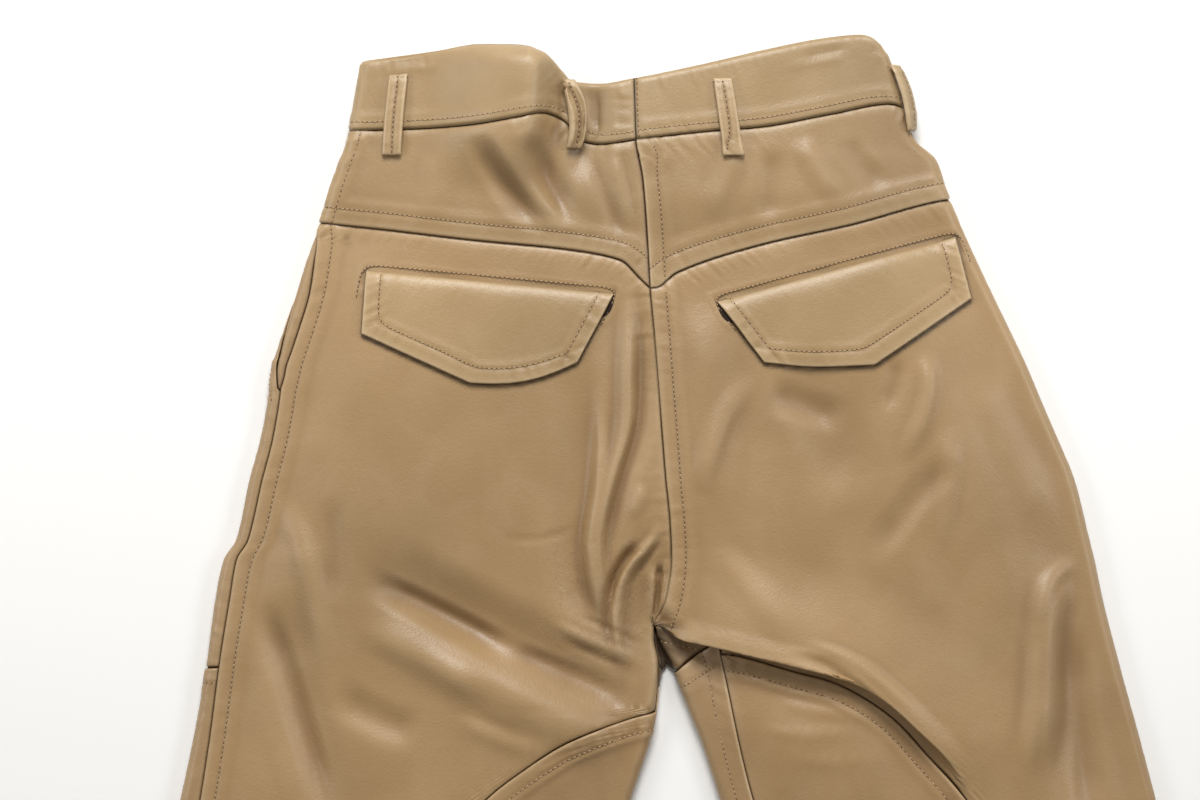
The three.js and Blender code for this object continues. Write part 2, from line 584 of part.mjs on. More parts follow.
/** Draw the rim in by half a seam gap, each corner along its mitre. The crotch point keeps its level. */
function drawIn(places, faces, side, inset) {
  const edges = rimOf(faces);
  const before = new Map(edges.map(([p, q]) => [q, p]));
  const after = new Map(edges);
  const inwards = (p, q) => {
    const [dx, dy] = [places[q].arc - places[p].arc, places[q].y - places[p].y];
    const length = Math.hypot(dx, dy) * side.inward;
    return [-dy / length, dx / length];
  };
  return places.map((spot, k) => {
    if (!after.has(k)) return spot;
    const first = inwards(before.get(k), k);
    const second = inwards(k, after.get(k));
    const spread = Math.max(LEAST_MITRE, 1 + first[0] * second[0] + first[1] * second[1]);
    const isCrotchPoint = spot.y === CROTCH.y && spot.arc > 0;
    return {
      arc: spot.arc + (inset * (first[0] + second[0])) / spread,
      y: isCrotchPoint ? spot.y : spot.y + (inset * (first[1] + second[1])) / spread,
    };
  });
}

/** A closed wall: the net's places moved out by lift, and again less the thickness. */
function wall(name, side, grids, options) {
  const { thickness, lift = () => 0, inset = SEAM_GAP / 2, color = TAN, metalness = 0 } = options;
  const { places, faces } = net(side, grids);
  const spots = drawIn(places, faces, side, inset);
  const outer = [];
  const inner = [];
  spots.forEach((spot) => {
    const { point, normal } = placeWithNormal(side, spot.arc, spot.y);
    const out = lift(spot);
    outer.push(point.clone().addScaledVector(normal, out));
    inner.push(point.clone().addScaledVector(normal, out - thickness));
  });
  const count = outer.length;
  // The shorter diagonal, so that both walls at a seam are cut alike.
  const rimFaces = ([p, q]) => (outer[q].distanceTo(inner[p]) < outer[p].distanceTo(inner[q])
    ? [q, p, count + p, q, count + p, count + q]
    : [p, count + p, count + q, p, count + q, q]);
  const triangles = [
    ...faces.flat(),
    ...faces.flatMap(([a, b, c]) => [count + a, count + c, count + b]),
    ...rimOf(faces).flatMap(rimFaces),
  ];
  const geometry = new THREE.BufferGeometry().setFromPoints([...outer, ...inner]);
  geometry.setIndex(triangles);
  geometry.computeVertexNormals();
  const material = new THREE.MeshStandardMaterial({ color, roughness: metalness ? 0.35 : 0.55, metalness });
  const mesh = new THREE.Mesh(geometry, material);
  mesh.name = name;
  return mesh;
}

// ---------------------------------------------------------------- seams of one side
/** Every shared seam of the left or right half, as rows of places. */
function seamsOf(side) {
  const { name } = side;
  const bySide = (y) => side.sideSeam(y);
  const seat = (y) => arcAtX(side, seatSeam(y), y);
  const front = (y) => -arcAtX(side, frontSeam(y), y);
  const overBack = (y) => {
    const fold = innerFold(side, y);
    if (y === CROTCH.y) return EDGE_QUARTER + fold.straight + fold.quarter;
    if (name === 'right') return arcAtX(side, rightInseam(y), y);
    return EDGE_QUARTER + fold.straight + leftInseamOver(y);
  };
  const overFront = (y) => {
    const fold = innerFold(side, y);
    return overBack(y) - 2 * (EDGE_QUARTER + fold.straight + fold.quarter);
  };
  const baseLine = (y) => -(EDGE_QUARTER + innerFold(side, y).straight);
  const hemY = (x) => HEM.y - HEM.tilt * side.inward * (x - HEM[name]);

  const sideHemY = hemY(side.outer(HEM.y));
  const inseamHemY = hemY(side.inner(HEM.y));
  const thighY = THIGH_SEAM[name];
  const mouthY = POCKET_MOUTH[name];
  const mouth = { arc: bySide(mouthY), y: mouthY };
  const seatTopY = YOKE_AT_SEAT;
  const seatBandY = bandSeam.back(seatSeam(BAND_LEVEL.seatSeam));
  const frontBandY = bandSeam.front(frontSeam(BAND_LEVEL.frontSeam));
  const bandSideY = BAND_SIDE[name];

  const sideYoke = down(bySide, bandSideY, YOKE_SIDE[name], STEPS.yokeDown);
  const sidePocket = down(bySide, YOKE_SIDE[name], mouthY, STEPS.pocketDown);
  const sideHip = down(bySide, mouthY, HIP_LEVEL, STEPS.hipDown);
  const sideThigh = down(bySide, HIP_LEVEL, thighY, STEPS.thighDown);
  const sideLeg = levels(thighY, sideHemY, STEPS.legDown, LEG_SPACING.side)
    .map((y) => ({ arc: bySide(y), y }));

  const seatYoke = down(seat, seatBandY, seatTopY, STEPS.yokeDown);
  const seatDown = down(seat, seatTopY, CROTCH.y, STEPS.seatDown);
  seatDown[STEPS.seatDown] = { arc: overBack(CROTCH.y), y: CROTCH.y };
  const crotchBack = down(overBack, CROTCH.y, INSEAM_AT_THIGH[name], STEPS.crotchDown);
  const patchTopY = INSEAM_AT_INNER_LEG[name];
  const underCrotchBack = down(overBack, INSEAM_AT_THIGH[name], patchTopY, STEPS.underCrotch);
  const inseamLegBack = levels(patchTopY, inseamHemY, STEPS.innerLegDown, LEG_SPACING.inseam)
    .map((y) => ({ arc: overBack(y), y }));
  const asFront = (points) => points.map(({ y }) => ({ arc: overFront(y), y }));

  const start = underCrotchBack[STEPS.underCrotch];
  const legPlaces = [...INNER_LEG_SEAM[name], { x: HEM[name], y: hemY(HEM[name]) }]
    .map(({ x, y }) => ({ arc: arcAtX(side, x, y), y }));
  const innerLeg = curved([start, ...legPlaces], CURVE_SAMPLES);
  const innerLegSeam = levels(0, CURVE_SAMPLES, STEPS.innerLegDown, LEG_SPACING.innerLeg)
    .map((sample) => innerLeg[Math.round(sample)]);
  innerLegSeam[0] = start;

  const onBandSeam = (x, onBack) => (onBack ? bandSeam.back(x) : bandSeam.front(x));
  const bandStart = { arc: seat(seatBandY), y: seatBandY };
  const band = across(side, bandStart, sideYoke[0], STEPS.backAcross, onBandSeam);
  const slantTopArc = -(EDGE_QUARTER + POCKET_TOP_REACH);
  const slantTop = { arc: slantTopArc, y: bandSeam.front(xAtArc(side, slantTopArc, bandSideY)) };
  const bandFacing = across(side, sideYoke[0], slantTop, STEPS.facingAcross, onBandSeam);
  const frontTop = { arc: front(frontBandY), y: frontBandY };
  const bandFront = across(side, slantTop, frontTop, STEPS.frontAcross, (x) => bandSeam.front(x));

  const slantCount = STEPS.yokeDown + STEPS.pocketDown;
  const slant = range(slantCount).map((k) => {
    const t = k / slantCount;
    const y = mix(slantTop.y, mouth.y, t);
    const [top, foot] = [slantTop, mouth].map(({ arc }) => stretch(side, arc, y));
    return { arc: unstretch(side, mix(top, foot, t), y), y };
  });
  slant[0] = slantTop;
  slant[slantCount] = mouth;

  const frontDown = down(front, frontBandY, CROTCH.y, STEPS.frontDown);
  frontDown[STEPS.frontDown] = { arc: baseLine(CROTCH.y), y: CROTCH.y };
  const footY = thighY - THIGH_SEAM.innerDrop;
  const wrapFoot = down(baseLine, CROTCH.y, footY, STEPS.crotchDown);
  const footEnd = wrapFoot[STEPS.crotchDown];
  const crotchEnd = { arc: overFront(CROTCH.y), y: CROTCH.y };
  const crotchWall = across(side, frontDown[STEPS.frontDown], crotchEnd, STEPS.wrapAcross, () => CROTCH.y);
  const onThighSeam = (x, onBack, t) => mix(thighY, footY, t);
  const thighAcross = across(side, sideThigh[STEPS.thighDown], footEnd, STEPS.frontAcross, onThighSeam);
  const wrapEnd = { arc: overFront(INSEAM_AT_THIGH[name]), y: INSEAM_AT_THIGH[name] };
  const onThighWrap = (x, onBack, t) => mix(footY, wrapEnd.y, smooth((t - 0.3) / 0.7));
  const thighWrap = across(side, footEnd, wrapEnd, STEPS.wrapAcross, onThighWrap);

  const sideHem = sideLeg[STEPS.legDown];
  const middleHem = innerLegSeam[STEPS.innerLegDown];
  const inseamHem = inseamLegBack[STEPS.innerLegDown];
  const hemOuter = across(side, sideHem, middleHem, STEPS.backAcross, (x) => hemY(x));
  const hemInner = across(side, middleHem, inseamHem, STEPS.innerLegAcross, (x) => hemY(x));
  const inseamHemFront = { arc: overFront(inseamHem.y), y: inseamHem.y };
  const onFrontHem = (x, onBack, t) => mix(sideHem.y, inseamHem.y, t);
  const hemFront = across(side, sideHem, inseamHemFront, STEPS.frontAcross + STEPS.wrapAcross, onFrontHem);

  return {
    sideYoke, sidePocket, sideHip, sideThigh, sideLeg, seatYoke, seatDown, crotchBack, underCrotchBack,
    inseamLegBack, crotchFront: asFront(crotchBack), underCrotchFront: asFront(underCrotchBack),
    inseamLegFront: asFront(inseamLegBack), innerLegSeam, band, bandFacing, bandFront, slant, frontDown,
    wrapFoot, crotchWall, thighAcross, thighWrap, hemOuter, hemInner, hemFront, seat, front,
  };
}

// ---------------------------------------------------------------- pieces
const leather = (lift = 0) => ({ thickness: LEATHER, lift: () => lift });

/** Waistband, yoke, back, inner leg, facing, front and front leg of one side. */
function halfOf(side) {
  const seams = seamsOf(side);
  const { name } = side;
  const [yokeStart, yokeEnd] = [seams.sideYoke[STEPS.yokeDown], seams.seatYoke[STEPS.yokeDown]];
  const yokeLine = across(side, yokeStart, yokeEnd, STEPS.backAcross, (x) => yokeSeam(x));

  // The back is meshed as a seat and a leg, which share this line.
  const [footStart, footEnd] = [seams.sideLeg[1], seams.innerLegSeam[0]];
  const onSeatFoot = (x, onBack, t) => mix(footStart.y, footEnd.y, t);
  const seatFoot = across(side, footStart, footEnd, STEPS.backAcross, onSeatFoot);

  const bandBottom = joined(seams.band, seams.bandFacing, seams.bandFront);
  const seatTopY = bandTop.back(seatSeam(BAND_LEVEL.seatTop));
  const seatTop = { arc: seams.seat(seatTopY), y: seatTopY };
  const frontTopY = bandTop.front(frontSeam(BAND_LEVEL.frontTop));
  const frontTop = { arc: seams.front(frontTopY), y: frontTopY };
  const onBandTop = (x, onBack) => (onBack ? bandTop.back(x) : bandTop.front(x));
  const bandEdge = across(side, seatTop, frontTop, bandBottom.length - 1, onBandTop);
  const bandSpec = {
    top: bandEdge,
    bottom: bandBottom,
    start: down(seams.seat, seatTop.y, bandBottom[0].y, STEPS.bandDown),
    end: down(seams.front, frontTop.y, bandBottom[bandBottom.length - 1].y, STEPS.bandDown),
  };

  return [
    wall(`waistband_${name}`, side, [patch(side, bandSpec)], {
      thickness: WAISTBAND_THICKNESS, lift: () => WAISTBAND_LIFT,
    }),
    wall(`yoke_${name}`, side, [patch(side, {
      top: reversed(seams.band), bottom: yokeLine, start: seams.sideYoke, end: seams.seatYoke,
    })], leather(LAP_LIFT)),
    wall(`back_${name}`, side, [
      patch(side, {
        top: yokeLine,
        bottom: seatFoot,
        start: joined(seams.sidePocket, seams.sideHip, seams.sideThigh, seams.sideLeg.slice(0, 2)),
        end: joined(seams.seatDown, seams.crotchBack, seams.underCrotchBack),
      }),
      patch(side, {
        top: seatFoot, bottom: seams.hemOuter, start: seams.sideLeg.slice(1), end: seams.innerLegSeam,
      }),
    ], leather()),
    wall(`back_inner_leg_${name}`, side, [patch(side, {
      top: range(STEPS.innerLegAcross).map(() => seams.innerLegSeam[0]),
      bottom: seams.hemInner,
      start: seams.innerLegSeam,
      end: seams.inseamLegBack,
    })], leather(LAP_LIFT)),
    wall(`pocket_facing_${name}`, side, [patch(side, {
      top: seams.bandFacing,
      bottom: range(STEPS.facingAcross).map(() => seams.slant[seams.slant.length - 1]),
      start: joined(seams.sideYoke, seams.sidePocket),
      end: seams.slant,
    })], leather()),
    wall(`front_${name}`, side, [
      patch(side, {
        top: seams.bandFront,
        bottom: seams.thighAcross,
        start: joined(seams.slant, seams.sideHip, seams.sideThigh),
        end: joined(seams.frontDown, seams.wrapFoot),
      }),
      patch(side, {
        top: seams.crotchWall, bottom: seams.thighWrap, start: seams.wrapFoot, end: seams.crotchFront,
      }),
    ], leather()),
    wall(`front_leg_${name}`, side, [patch(side, {
      top: joined(seams.thighAcross, seams.thighWrap),
      bottom: seams.hemFront,
      start: seams.sideLeg,
      end: joined(seams.underCrotchFront, seams.inseamLegFront),
    })], leather()),
  ];
}

/** A flap lies on the back panel under the yoke: five corners, the lowest a blunt point. */
function flap({ side: name, x, y, degrees }) {
  const side = SIDES[name];
  const angle = THREE.MathUtils.degToRad(degrees);
  const spot = ([u, v]) => {
    const px = x - side.inward * (u * Math.cos(angle) + v * Math.sin(angle));
    const py = y + u * Math.sin(angle) - v * Math.cos(angle);
    return { arc: arcAtX(side, px, py), y: py };
  };
  const line = (from, to, count) => range(count)
    .map((k) => [mix(from[0], to[0], k / count), mix(from[1], to[1], k / count)]);
  const { topOuter, bottomOuter, point, bottomInner } = FLAP_CORNERS;
  const topInner = [0, 0];
  const half = FLAP_STEPS.across / 2;
  const grid = patch(side, {
    top: line(topOuter, topInner, FLAP_STEPS.across).map(spot),
    bottom: joined(line(bottomOuter, point, half), line(point, bottomInner, half)).map(spot),
    start: line(topOuter, bottomOuter, FLAP_STEPS.down).map(spot),
    end: line(topInner, bottomInner, FLAP_STEPS.down).map(spot),
  });
  return wall(`flap_${name}`, side, [grid], {
    thickness: FLAP_THICKNESS, lift: () => FLAP_CLEARANCE + FLAP_THICKNESS, inset: 0,
  });
}

/** A belt loop bridges the waistband and is sewn down at both ends. */
function beltLoop(loop, number) {
  const { top, bottom, width = LOOP_WIDTH, stand, clear, arc, under, columns } = loop;
  const side = SIDES[loop.side];
  const steps = under ? LOOP_STEPS.flat : LOOP_STEPS.bridging;
  const middleArc = (t, y) => {
    if (arc !== undefined) return arc;
    const onBack = arcAtX(side, mix(top[0], bottom[0], t), y);
    return under ? -onBack : onBack;
  };
  const grid = range(steps).map((j) => {
    const y = mix(top[1], bottom[1], j / steps);
    const middle = middleArc(j / steps, y);
    return range(columns).map((k) => ({ arc: middle + (k / columns - 0.5) * width, y }));
  });
  const base = WAISTBAND_LIFT + clear + LOOP_THICKNESS;
  const bridge = ({ y }) => {
    const along = clamp01((top[1] - y) / (top[1] - bottom[1]));
    return base + stand * Math.sin(Math.PI * along) ** 0.6;
  };
  return wall(`belt_loop_${number}`, side, [grid], { thickness: LOOP_THICKNESS, lift: bridge, inset: 0 });
}

/** A flat strip or plate inside the fly, across the front seam. */
function insideFly(name, { top, bottom, width, depth, thickness, steps, color, metalness }) {
  const side = SIDES.left;
  const grid = range(steps).map((j) => {
    const y = mix(top, bottom, j / steps);
    const middle = -arcAtX(side, frontSeam(y), y);
    return [-0.5, 0.5].map((half) => ({ arc: middle + half * width, y }));
  });
  return wall(name, side, [grid], { thickness, lift: () => -depth, inset: 0, color, metalness });
}

function closure() {
  const behindFront = LEATHER + ZIP_CLEARANCE;
  const behindBand = WAISTBAND_THICKNESS - WAISTBAND_LIFT + SEAM_GAP;
  const sliderTop = ZIP_TOP - SLIDER.drop;
  return [
    insideFly('fly_zip', {
      top: ZIP_TOP, bottom: ZIP_TOP - ZIP_LENGTH, width: ZIP_WIDTH, depth: behindFront,
      thickness: ZIP_THICKNESS, steps: ZIP_STEPS,
    }),
    insideFly('zip_slider', {
      ...SLIDER, top: sliderTop, bottom: sliderTop - SLIDER.length,
      depth: behindFront + ZIP_THICKNESS + SEAM_GAP, steps: 1, color: METAL, metalness: 0.9,
    }),
    insideFly('waist_hook', {
      ...HOOK, depth: behindBand, steps: 1, color: METAL, metalness: 0.9,
    }),
  ];
}

const trousers = new THREE.Group();
trousers.add(
  ...halfOf(SIDES.left),
  ...halfOf(SIDES.right),
  ...FLAPS.map(flap),
  ...LOOPS.map((loop, k) => beltLoop(loop, k + 1)),
  ...closure(),
);

// The origin is the middle of the laid garment's box, on the surface it lies on.
const box = new THREE.Box3().setFromObject(trousers);
const middle = box.getCenter(new THREE.Vector3());
trousers.position.set(-middle.x, -middle.y, -box.min.z);

export default trousers;
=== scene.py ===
"""Leather trousers laid flat on their front: fine leather, seams, sewing, closure, light and camera.

Sizes are in millimetres, in the trousers' own plan: X across the back, Y up to the waist, Z up from
the surface that they lie on. A place on the leather is (arc, y): the arc along the leather from a
side's outer fold, positive over the back and negative under the front.
"""
from __future__ import annotations

import json
import logging
import math
from dataclasses import dataclass, field
from enum import Enum
from typing import Callable, Iterable, NamedTuple, Sequence

import bpy
import numpy as np
from mathutils import Matrix, Vector

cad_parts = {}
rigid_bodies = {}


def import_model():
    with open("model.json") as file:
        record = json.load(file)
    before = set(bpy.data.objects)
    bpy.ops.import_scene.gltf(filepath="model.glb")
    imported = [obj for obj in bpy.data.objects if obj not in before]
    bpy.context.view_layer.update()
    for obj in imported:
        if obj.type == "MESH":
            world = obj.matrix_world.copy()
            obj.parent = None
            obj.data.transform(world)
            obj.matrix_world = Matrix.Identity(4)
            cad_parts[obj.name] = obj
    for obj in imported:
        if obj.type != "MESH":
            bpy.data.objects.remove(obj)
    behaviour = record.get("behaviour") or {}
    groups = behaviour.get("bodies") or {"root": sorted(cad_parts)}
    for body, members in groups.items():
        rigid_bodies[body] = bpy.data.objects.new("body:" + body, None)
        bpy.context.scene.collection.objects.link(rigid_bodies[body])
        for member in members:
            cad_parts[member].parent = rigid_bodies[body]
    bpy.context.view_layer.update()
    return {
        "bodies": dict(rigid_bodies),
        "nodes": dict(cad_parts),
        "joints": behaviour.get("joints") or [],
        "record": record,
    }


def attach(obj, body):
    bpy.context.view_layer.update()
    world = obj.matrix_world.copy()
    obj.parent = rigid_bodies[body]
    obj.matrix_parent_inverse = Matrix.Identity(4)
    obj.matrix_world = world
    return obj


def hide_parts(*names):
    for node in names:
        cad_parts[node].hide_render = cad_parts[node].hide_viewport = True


LOG = logging.getLogger("trousers")
Array = np.ndarray
Values = float | Array
Tone = tuple[int, int, int]
MM = 0.001
ORIGIN = np.array([-51.645, 331.626, 0.4])  # the plan's zero in the part's frame

LEATHER = 1.4
BAND_THICKNESS = 2.8
BAND_LIFT = 0.9
LAP_LIFT = 0.4
FLAP_THICKNESS = 2.4
FLAP_CLEARANCE = 0.95
LOOP_THICKNESS = 2.2
LOOP_CLEARANCE = 0.4
LOOP_WIDTH = 11.5
EDGE_RADIUS = 5.5
EDGE_STRETCH = 7.0
STRETCH_FADE = 70.0
CROTCH_X, CROTCH_Y, CROTCH_HEIGHT, CROTCH_RADIUS = 33.0, -135.0, 8.0, 2.6
SLIT = 0.4
# SLIT_X, SLIT_TOP and SLIT_FOOT only place the painted shade in the slit
SLIT_X, SLIT_TOP, SLIT_FOOT = 38.0, -131.0, -176.0         # the narrow slit below the crotch
WEB_FOOT, WEB_FADE = -157.0, 12.0                          # where the leather beside it stops bulging in
THIGH_SEAM_AT, THIGH_SEAM_SLOPE = (45.4, -163.8), 0.93     # the right thigh seam, seen from above
UNDERSIDE_TOP, UNDERSIDE_RUN = 92.0, 34.0                  # where the underside rises to the waistband
CREASED_AT = (-0.042, 0.214, 0.012)  # middle of the finely wrinkled leather beside the crotch, in metres
LOWEST = -0.4  # nothing reaches below the surface that they lie on
HEM_Y, HEM_TILT = -872.0, 0.09
POINTS_AT_ONCE = 4000
HEM = {"left": -215.0, "right": 319.0}
FRONT_RISE = BAND_LIFT + LOOP_CLEARANCE + LOOP_THICKNESS

OUTLINE = (  # y, left, right
    (230, -139, 160), (203, -143, 174), (180, -147, 181), (162, -150, 185), (153, -152, 190),
    (144, -155.5, 200.5), (126, -162, 207), (107, -168, 215), (84, -176.5, 225.5), (60, -184, 237),
    (30, -194, 251.5), (18, -198, 257), (0, -200, 264.5), (-24, -204.5, 275), (-48, -211, 285),
    (-84, -219, 294), (-96, -226.5, 297), (-120, -231.5, 302), (-160, -237, 312), (-200, -244, 323),
    (-240, -252.5, 333.5), (-300, -266, 349), (-380, -280, 366), (-470, -290, 381), (-600, -299, 396),
    (-740, -307, 408), (-900, -314, 418),
)
INNER_EDGES = (  # y, left, right
    (-135, 33, 33), (-144, 33.5, 36), (-160, 36.5, 43.8), (-172, 35.5, 48), (-186, 34, 53),
    (-204, 30.5, 60.3), (-222, 24.5, 66.3), (-240, 18.5, 72), (-300, 1, 90), (-380, -22, 114),
    (-470, -52, 143), (-600, -83, 180), (-740, -104, 205), (-900, -119, 223),
)
SEAT_SEAM = (  # y, x
    (192, 20.4), (156, 21.6), (132, 25.8), (102, 28.2), (69, 30), (42, 32.4), (12, 34.8), (-18, 37.2),
    (-48, 39.6), (-72, 42), (-96, 43), (-114, 40.8), (-135, 33),
)
FRONT_SEAM = ((190, 22), (100, 26), (0, 32), (-135, 33))
SIDE_SEAMS = (  # y, arc left, arc right
    (175, 1, -8), (103, 1.5, -12), (93, 6.5, -12), (54, 12.3, -13), (15, 12.5, -13), (5, 10.8, -13),
    (-48, 11.5, -14), (-78, 11, -14), (-120, 12.4, -14), (-156, 11.5, -13), (-204, 13.6, -13),
    (-240, 15.7, -13), (-300, 18, -12), (-470, 14, -12), (-900, 8, -8),
)
LEFT_INSEAM = (  # y, arc past the inner fold's top
    (-144, 6.2), (-161, 8), (-187, 8.6), (-240, 18), (-300, 30), (-470, 28), (-900, 22),
)
RIGHT_INSEAM = (  # y, x
    (-135, 33), (-147, 71.2), (-153, 72.5), (-171.6, 76.2), (-204, 82.8), (-240, 91.8), (-300, 112),
    (-380, 136), (-470, 163), (-600, 196), (-740, 217), (-900, 233),
)
BAND_TOP = (  # x, y on the back, y under the front
    (-143, 203, 203), (-96, 209, 192), (-72, 212.4, 189), (-48, 211.8, 186), (-33, 207, 185),
    (-22.8, 197, 184), (-16.8, 190.5, 183.5), (0, 189, 183), (19, 192, 183), (60, 200.4, 184),
    (96, 208.8, 187), (138, 217.2, 194), (156, 219, 198), (168, 214.8, 201.5), (174, 204, 204),
)
BAND_SEAM = (
    (-150, 161.5, 161.5), (-120, 162, 154), (-78, 163.8, 149), (-48, 168, 146), (-33, 171, 145),
    (-22.2, 167.4, 144), (-9, 154.4, 143.5), (0, 153, 143), (24, 156, 143), (60, 160.2, 144.5),
    (96, 163.2, 148), (138, 171, 157), (174, 177.5, 169), (184, 174, 174),
)
YOKE_SEAM = (  # x, y
    (-169, 106.5), (-138, 103.2), (-78, 96), (-18, 90), (12, 84), (33, 67), (45, 76), (96, 93),
    (150, 105), (207, 120), (216, 121),
)
INNER_LEG_SEAM = {
    "left": ((19.2, -191.2), (-19.8, -205.5), (-48.6, -223.8), (-65.4, -236.8), (-86, -258),
             (-103, -286), (-118, -326), (-132, -380), (-152, -480), (-172, -600), (-196, -740)),
    "right": ((84, -154.2), (116.4, -163.2), (143.4, -171), (174, -189.6), (196.5, -213.6),
              (219, -239.4), (238, -268), (252, -304), (262, -350), (272, -420), (286, -540),
              (302, -700)),
}
LOFT = ((219, 6), (150, 7), (60, 9), (-60, 10), (-140, 9), (-300, 8), (-600, 7), (-900, 5))

STEPS = {
    "yoke": 4, "pocket": 7, "hip": 7, "thigh": 4, "leg": 19, "seat": 15, "crotch": 3, "under": 1,
    "inner_leg": 18, "front": 19, "back_across": 16, "inner_across": 8, "facing_across": 3,
    "front_across": 9, "wrap_across": 4, "band": 3,
}
LEG_SPACING = {"side": 0.55, "inseam": 0.6, "inner": 0.62}
POCKET_MOUTH = {"left": 5.0, "right": 8.0}
POCKET_TOP_REACH = 62.0
THIGH_Y, THIGH_DROP = -161.0, 2.8
SLANT_PASSES = 6
WRAP_RUN = (0.0, 0.3, 0.4, 0.76, 0.93, 1.0)      # way round the inner fold
WRAP_SHARE = (0.0, 0.01, 0.04, 0.30, 0.94, 1.0)  # and how far up the thigh seam is there
HIP_Y, YOKE_AT_SEAT = -110.0, 67.0
YOKE_SIDE = {"left": 106.5, "right": 121.0}
BAND_SIDE = {"left": 161.5, "right": 174.0}
INSEAM_AT_THIGH = {"left": -161.0, "right": -146.0}
INSEAM_AT_PATCH = {"left": -187.0, "right": -153.0}


# Folds: a place, another that it heads for, its last place, and its rise and half widths.
FOLDS = (
    (-40, 222, -41, 190, -50, 118, 17, 22, 64),         # bulge of the waistband
    (-6, 200, -5, 165, -14, 128, -4, 20, 12),
    (-74, 160, -64, 128, -30, 102, -4, 11, 12),         # slanting troughs below the bulge
    (-46, 160, -34, 138, -14, 104, -5, 12, 10),
    (-62, 158, -50, 128, -20, 100, 2.5, 9, 9),
    (-150, -92, -48, -150, 32, -186, -8, 30, 26),       # trough across the left thigh
    (-128, -140, -40, -186, 20, -214, 4, 22, 22),
    (-196, -112, -182, -180, -158, -262, -5, 24, 24),
    (60, 66, 66, 0, 62, -104, 4, 26, 26),
    (112, 34, 134, -10, 150, -66, -3, 30, 24),
    (268, -88, 276, -150, 262, -226, 5, 16, 18),
    (284, -132, 282, -190, 300, -268, -5, 16, 14),
    (-254, -420, -170, -452, -92, -430, -5, 20, 26),
    (346, -430, 270, -462, 190, -438, -5, 26, 20),
    (-196, -500, -222, -600, -214, -740, 4, 34, 26),
    (286, -510, 318, -610, 318, -740, 4, 26, 34),
)


class Run(NamedTuple):
    """A long fold through many places, with the shares of its length over which it rises and fades."""

    places: tuple[tuple[float, float], ...]
    rise: float
    left: float
    right: float
    lean: float = 0.0
    head: float = 0.25
    foot: float = 0.25


ROLL = ((27, -131), (43, -135), (70, -140), (96, -146), (124, -153), (150, -160), (174, -173),
        (196, -193), (212, -215), (228, -250))
ROLL_FOOT = ((36, -143), (62, -149), (94, -156), (126, -165), (154, -174), (174, -188), (194, -210),
             (210, -238), (222, -276))
RUNS = (
    Run(ROLL, 8.5, 56, 8, 5.0, 0.05, 0.3),        # roll below the right seat
    Run(ROLL, 2.4, 11, 5, 2.5, 0.08, 0.3),
    Run(ROLL_FOOT, -5.0, 7, 46, 0, 0.08, 0.3),
    # Left seat: hollow, two thin ridges, hollow beside the seam, and the narrow folds of the crotch.
    Run(((-8, 34), (-9, -20), (-10.7, -52), (-14.3, -89), (-11, -116), (-2, -148)),
        -4.6, 10, 22, 0, 0.4, 0.2),
    Run(((1, 16), (-0.4, -43), (-6, -71), (-7.8, -84), (-6, -107), (-1, -124), (8, -148)),
        2.6, 6, 5, 0, 0.4, 0.3),
    Run(((17, 84), (16.6, 20), (15.6, -18), (8, -48), (0, -75), (-1.3, -89), (1.4, -112), (7, -134),
         (12, -152)), 4.4, 6.5, 10, 0, 0.3, 0.2),
    Run(((26, 66), (25, 20), (23, -14), (13, -44), (8, -62), (6, -84), (6, -106)),
        -3.6, 13, 5, 0, 0.3, 0.25),
    Run(((24, -48), (23, -58), (18, -72)), 1.6, 7, 6, 0, 0.4, 0.4),
    Run(((37, -72), (30.8, -84.4), (19.8, -96.4), (13.3, -107.4), (10.6, -121), (10, -142), (14, -168)),
        3.8, 7, 4.2, 0, 0.25, 0.35),
    Run(((26, -85), (16, -94.5), (7.9, -110), (5.1, -121), (4, -134), (7, -154)),
        -5.6, 4, 6.5, 0, 0.18, 0.4),
    Run(((38, -80), (30, -92), (22, -104), (19, -114)), -1.6, 4, 4, 0, 0.3, 0.4),
    Run(((30.5, -99), (31.4, -110), (30, -131), (30, -150), (31, -166)), 2.6, 3.4, 4.5, 0, 0.15, 0.4),
    Run(((35.6, -98), (35, -112), (33, -132)), -3.8, 3, 2.6, 0, 0.12, 0.1),
)
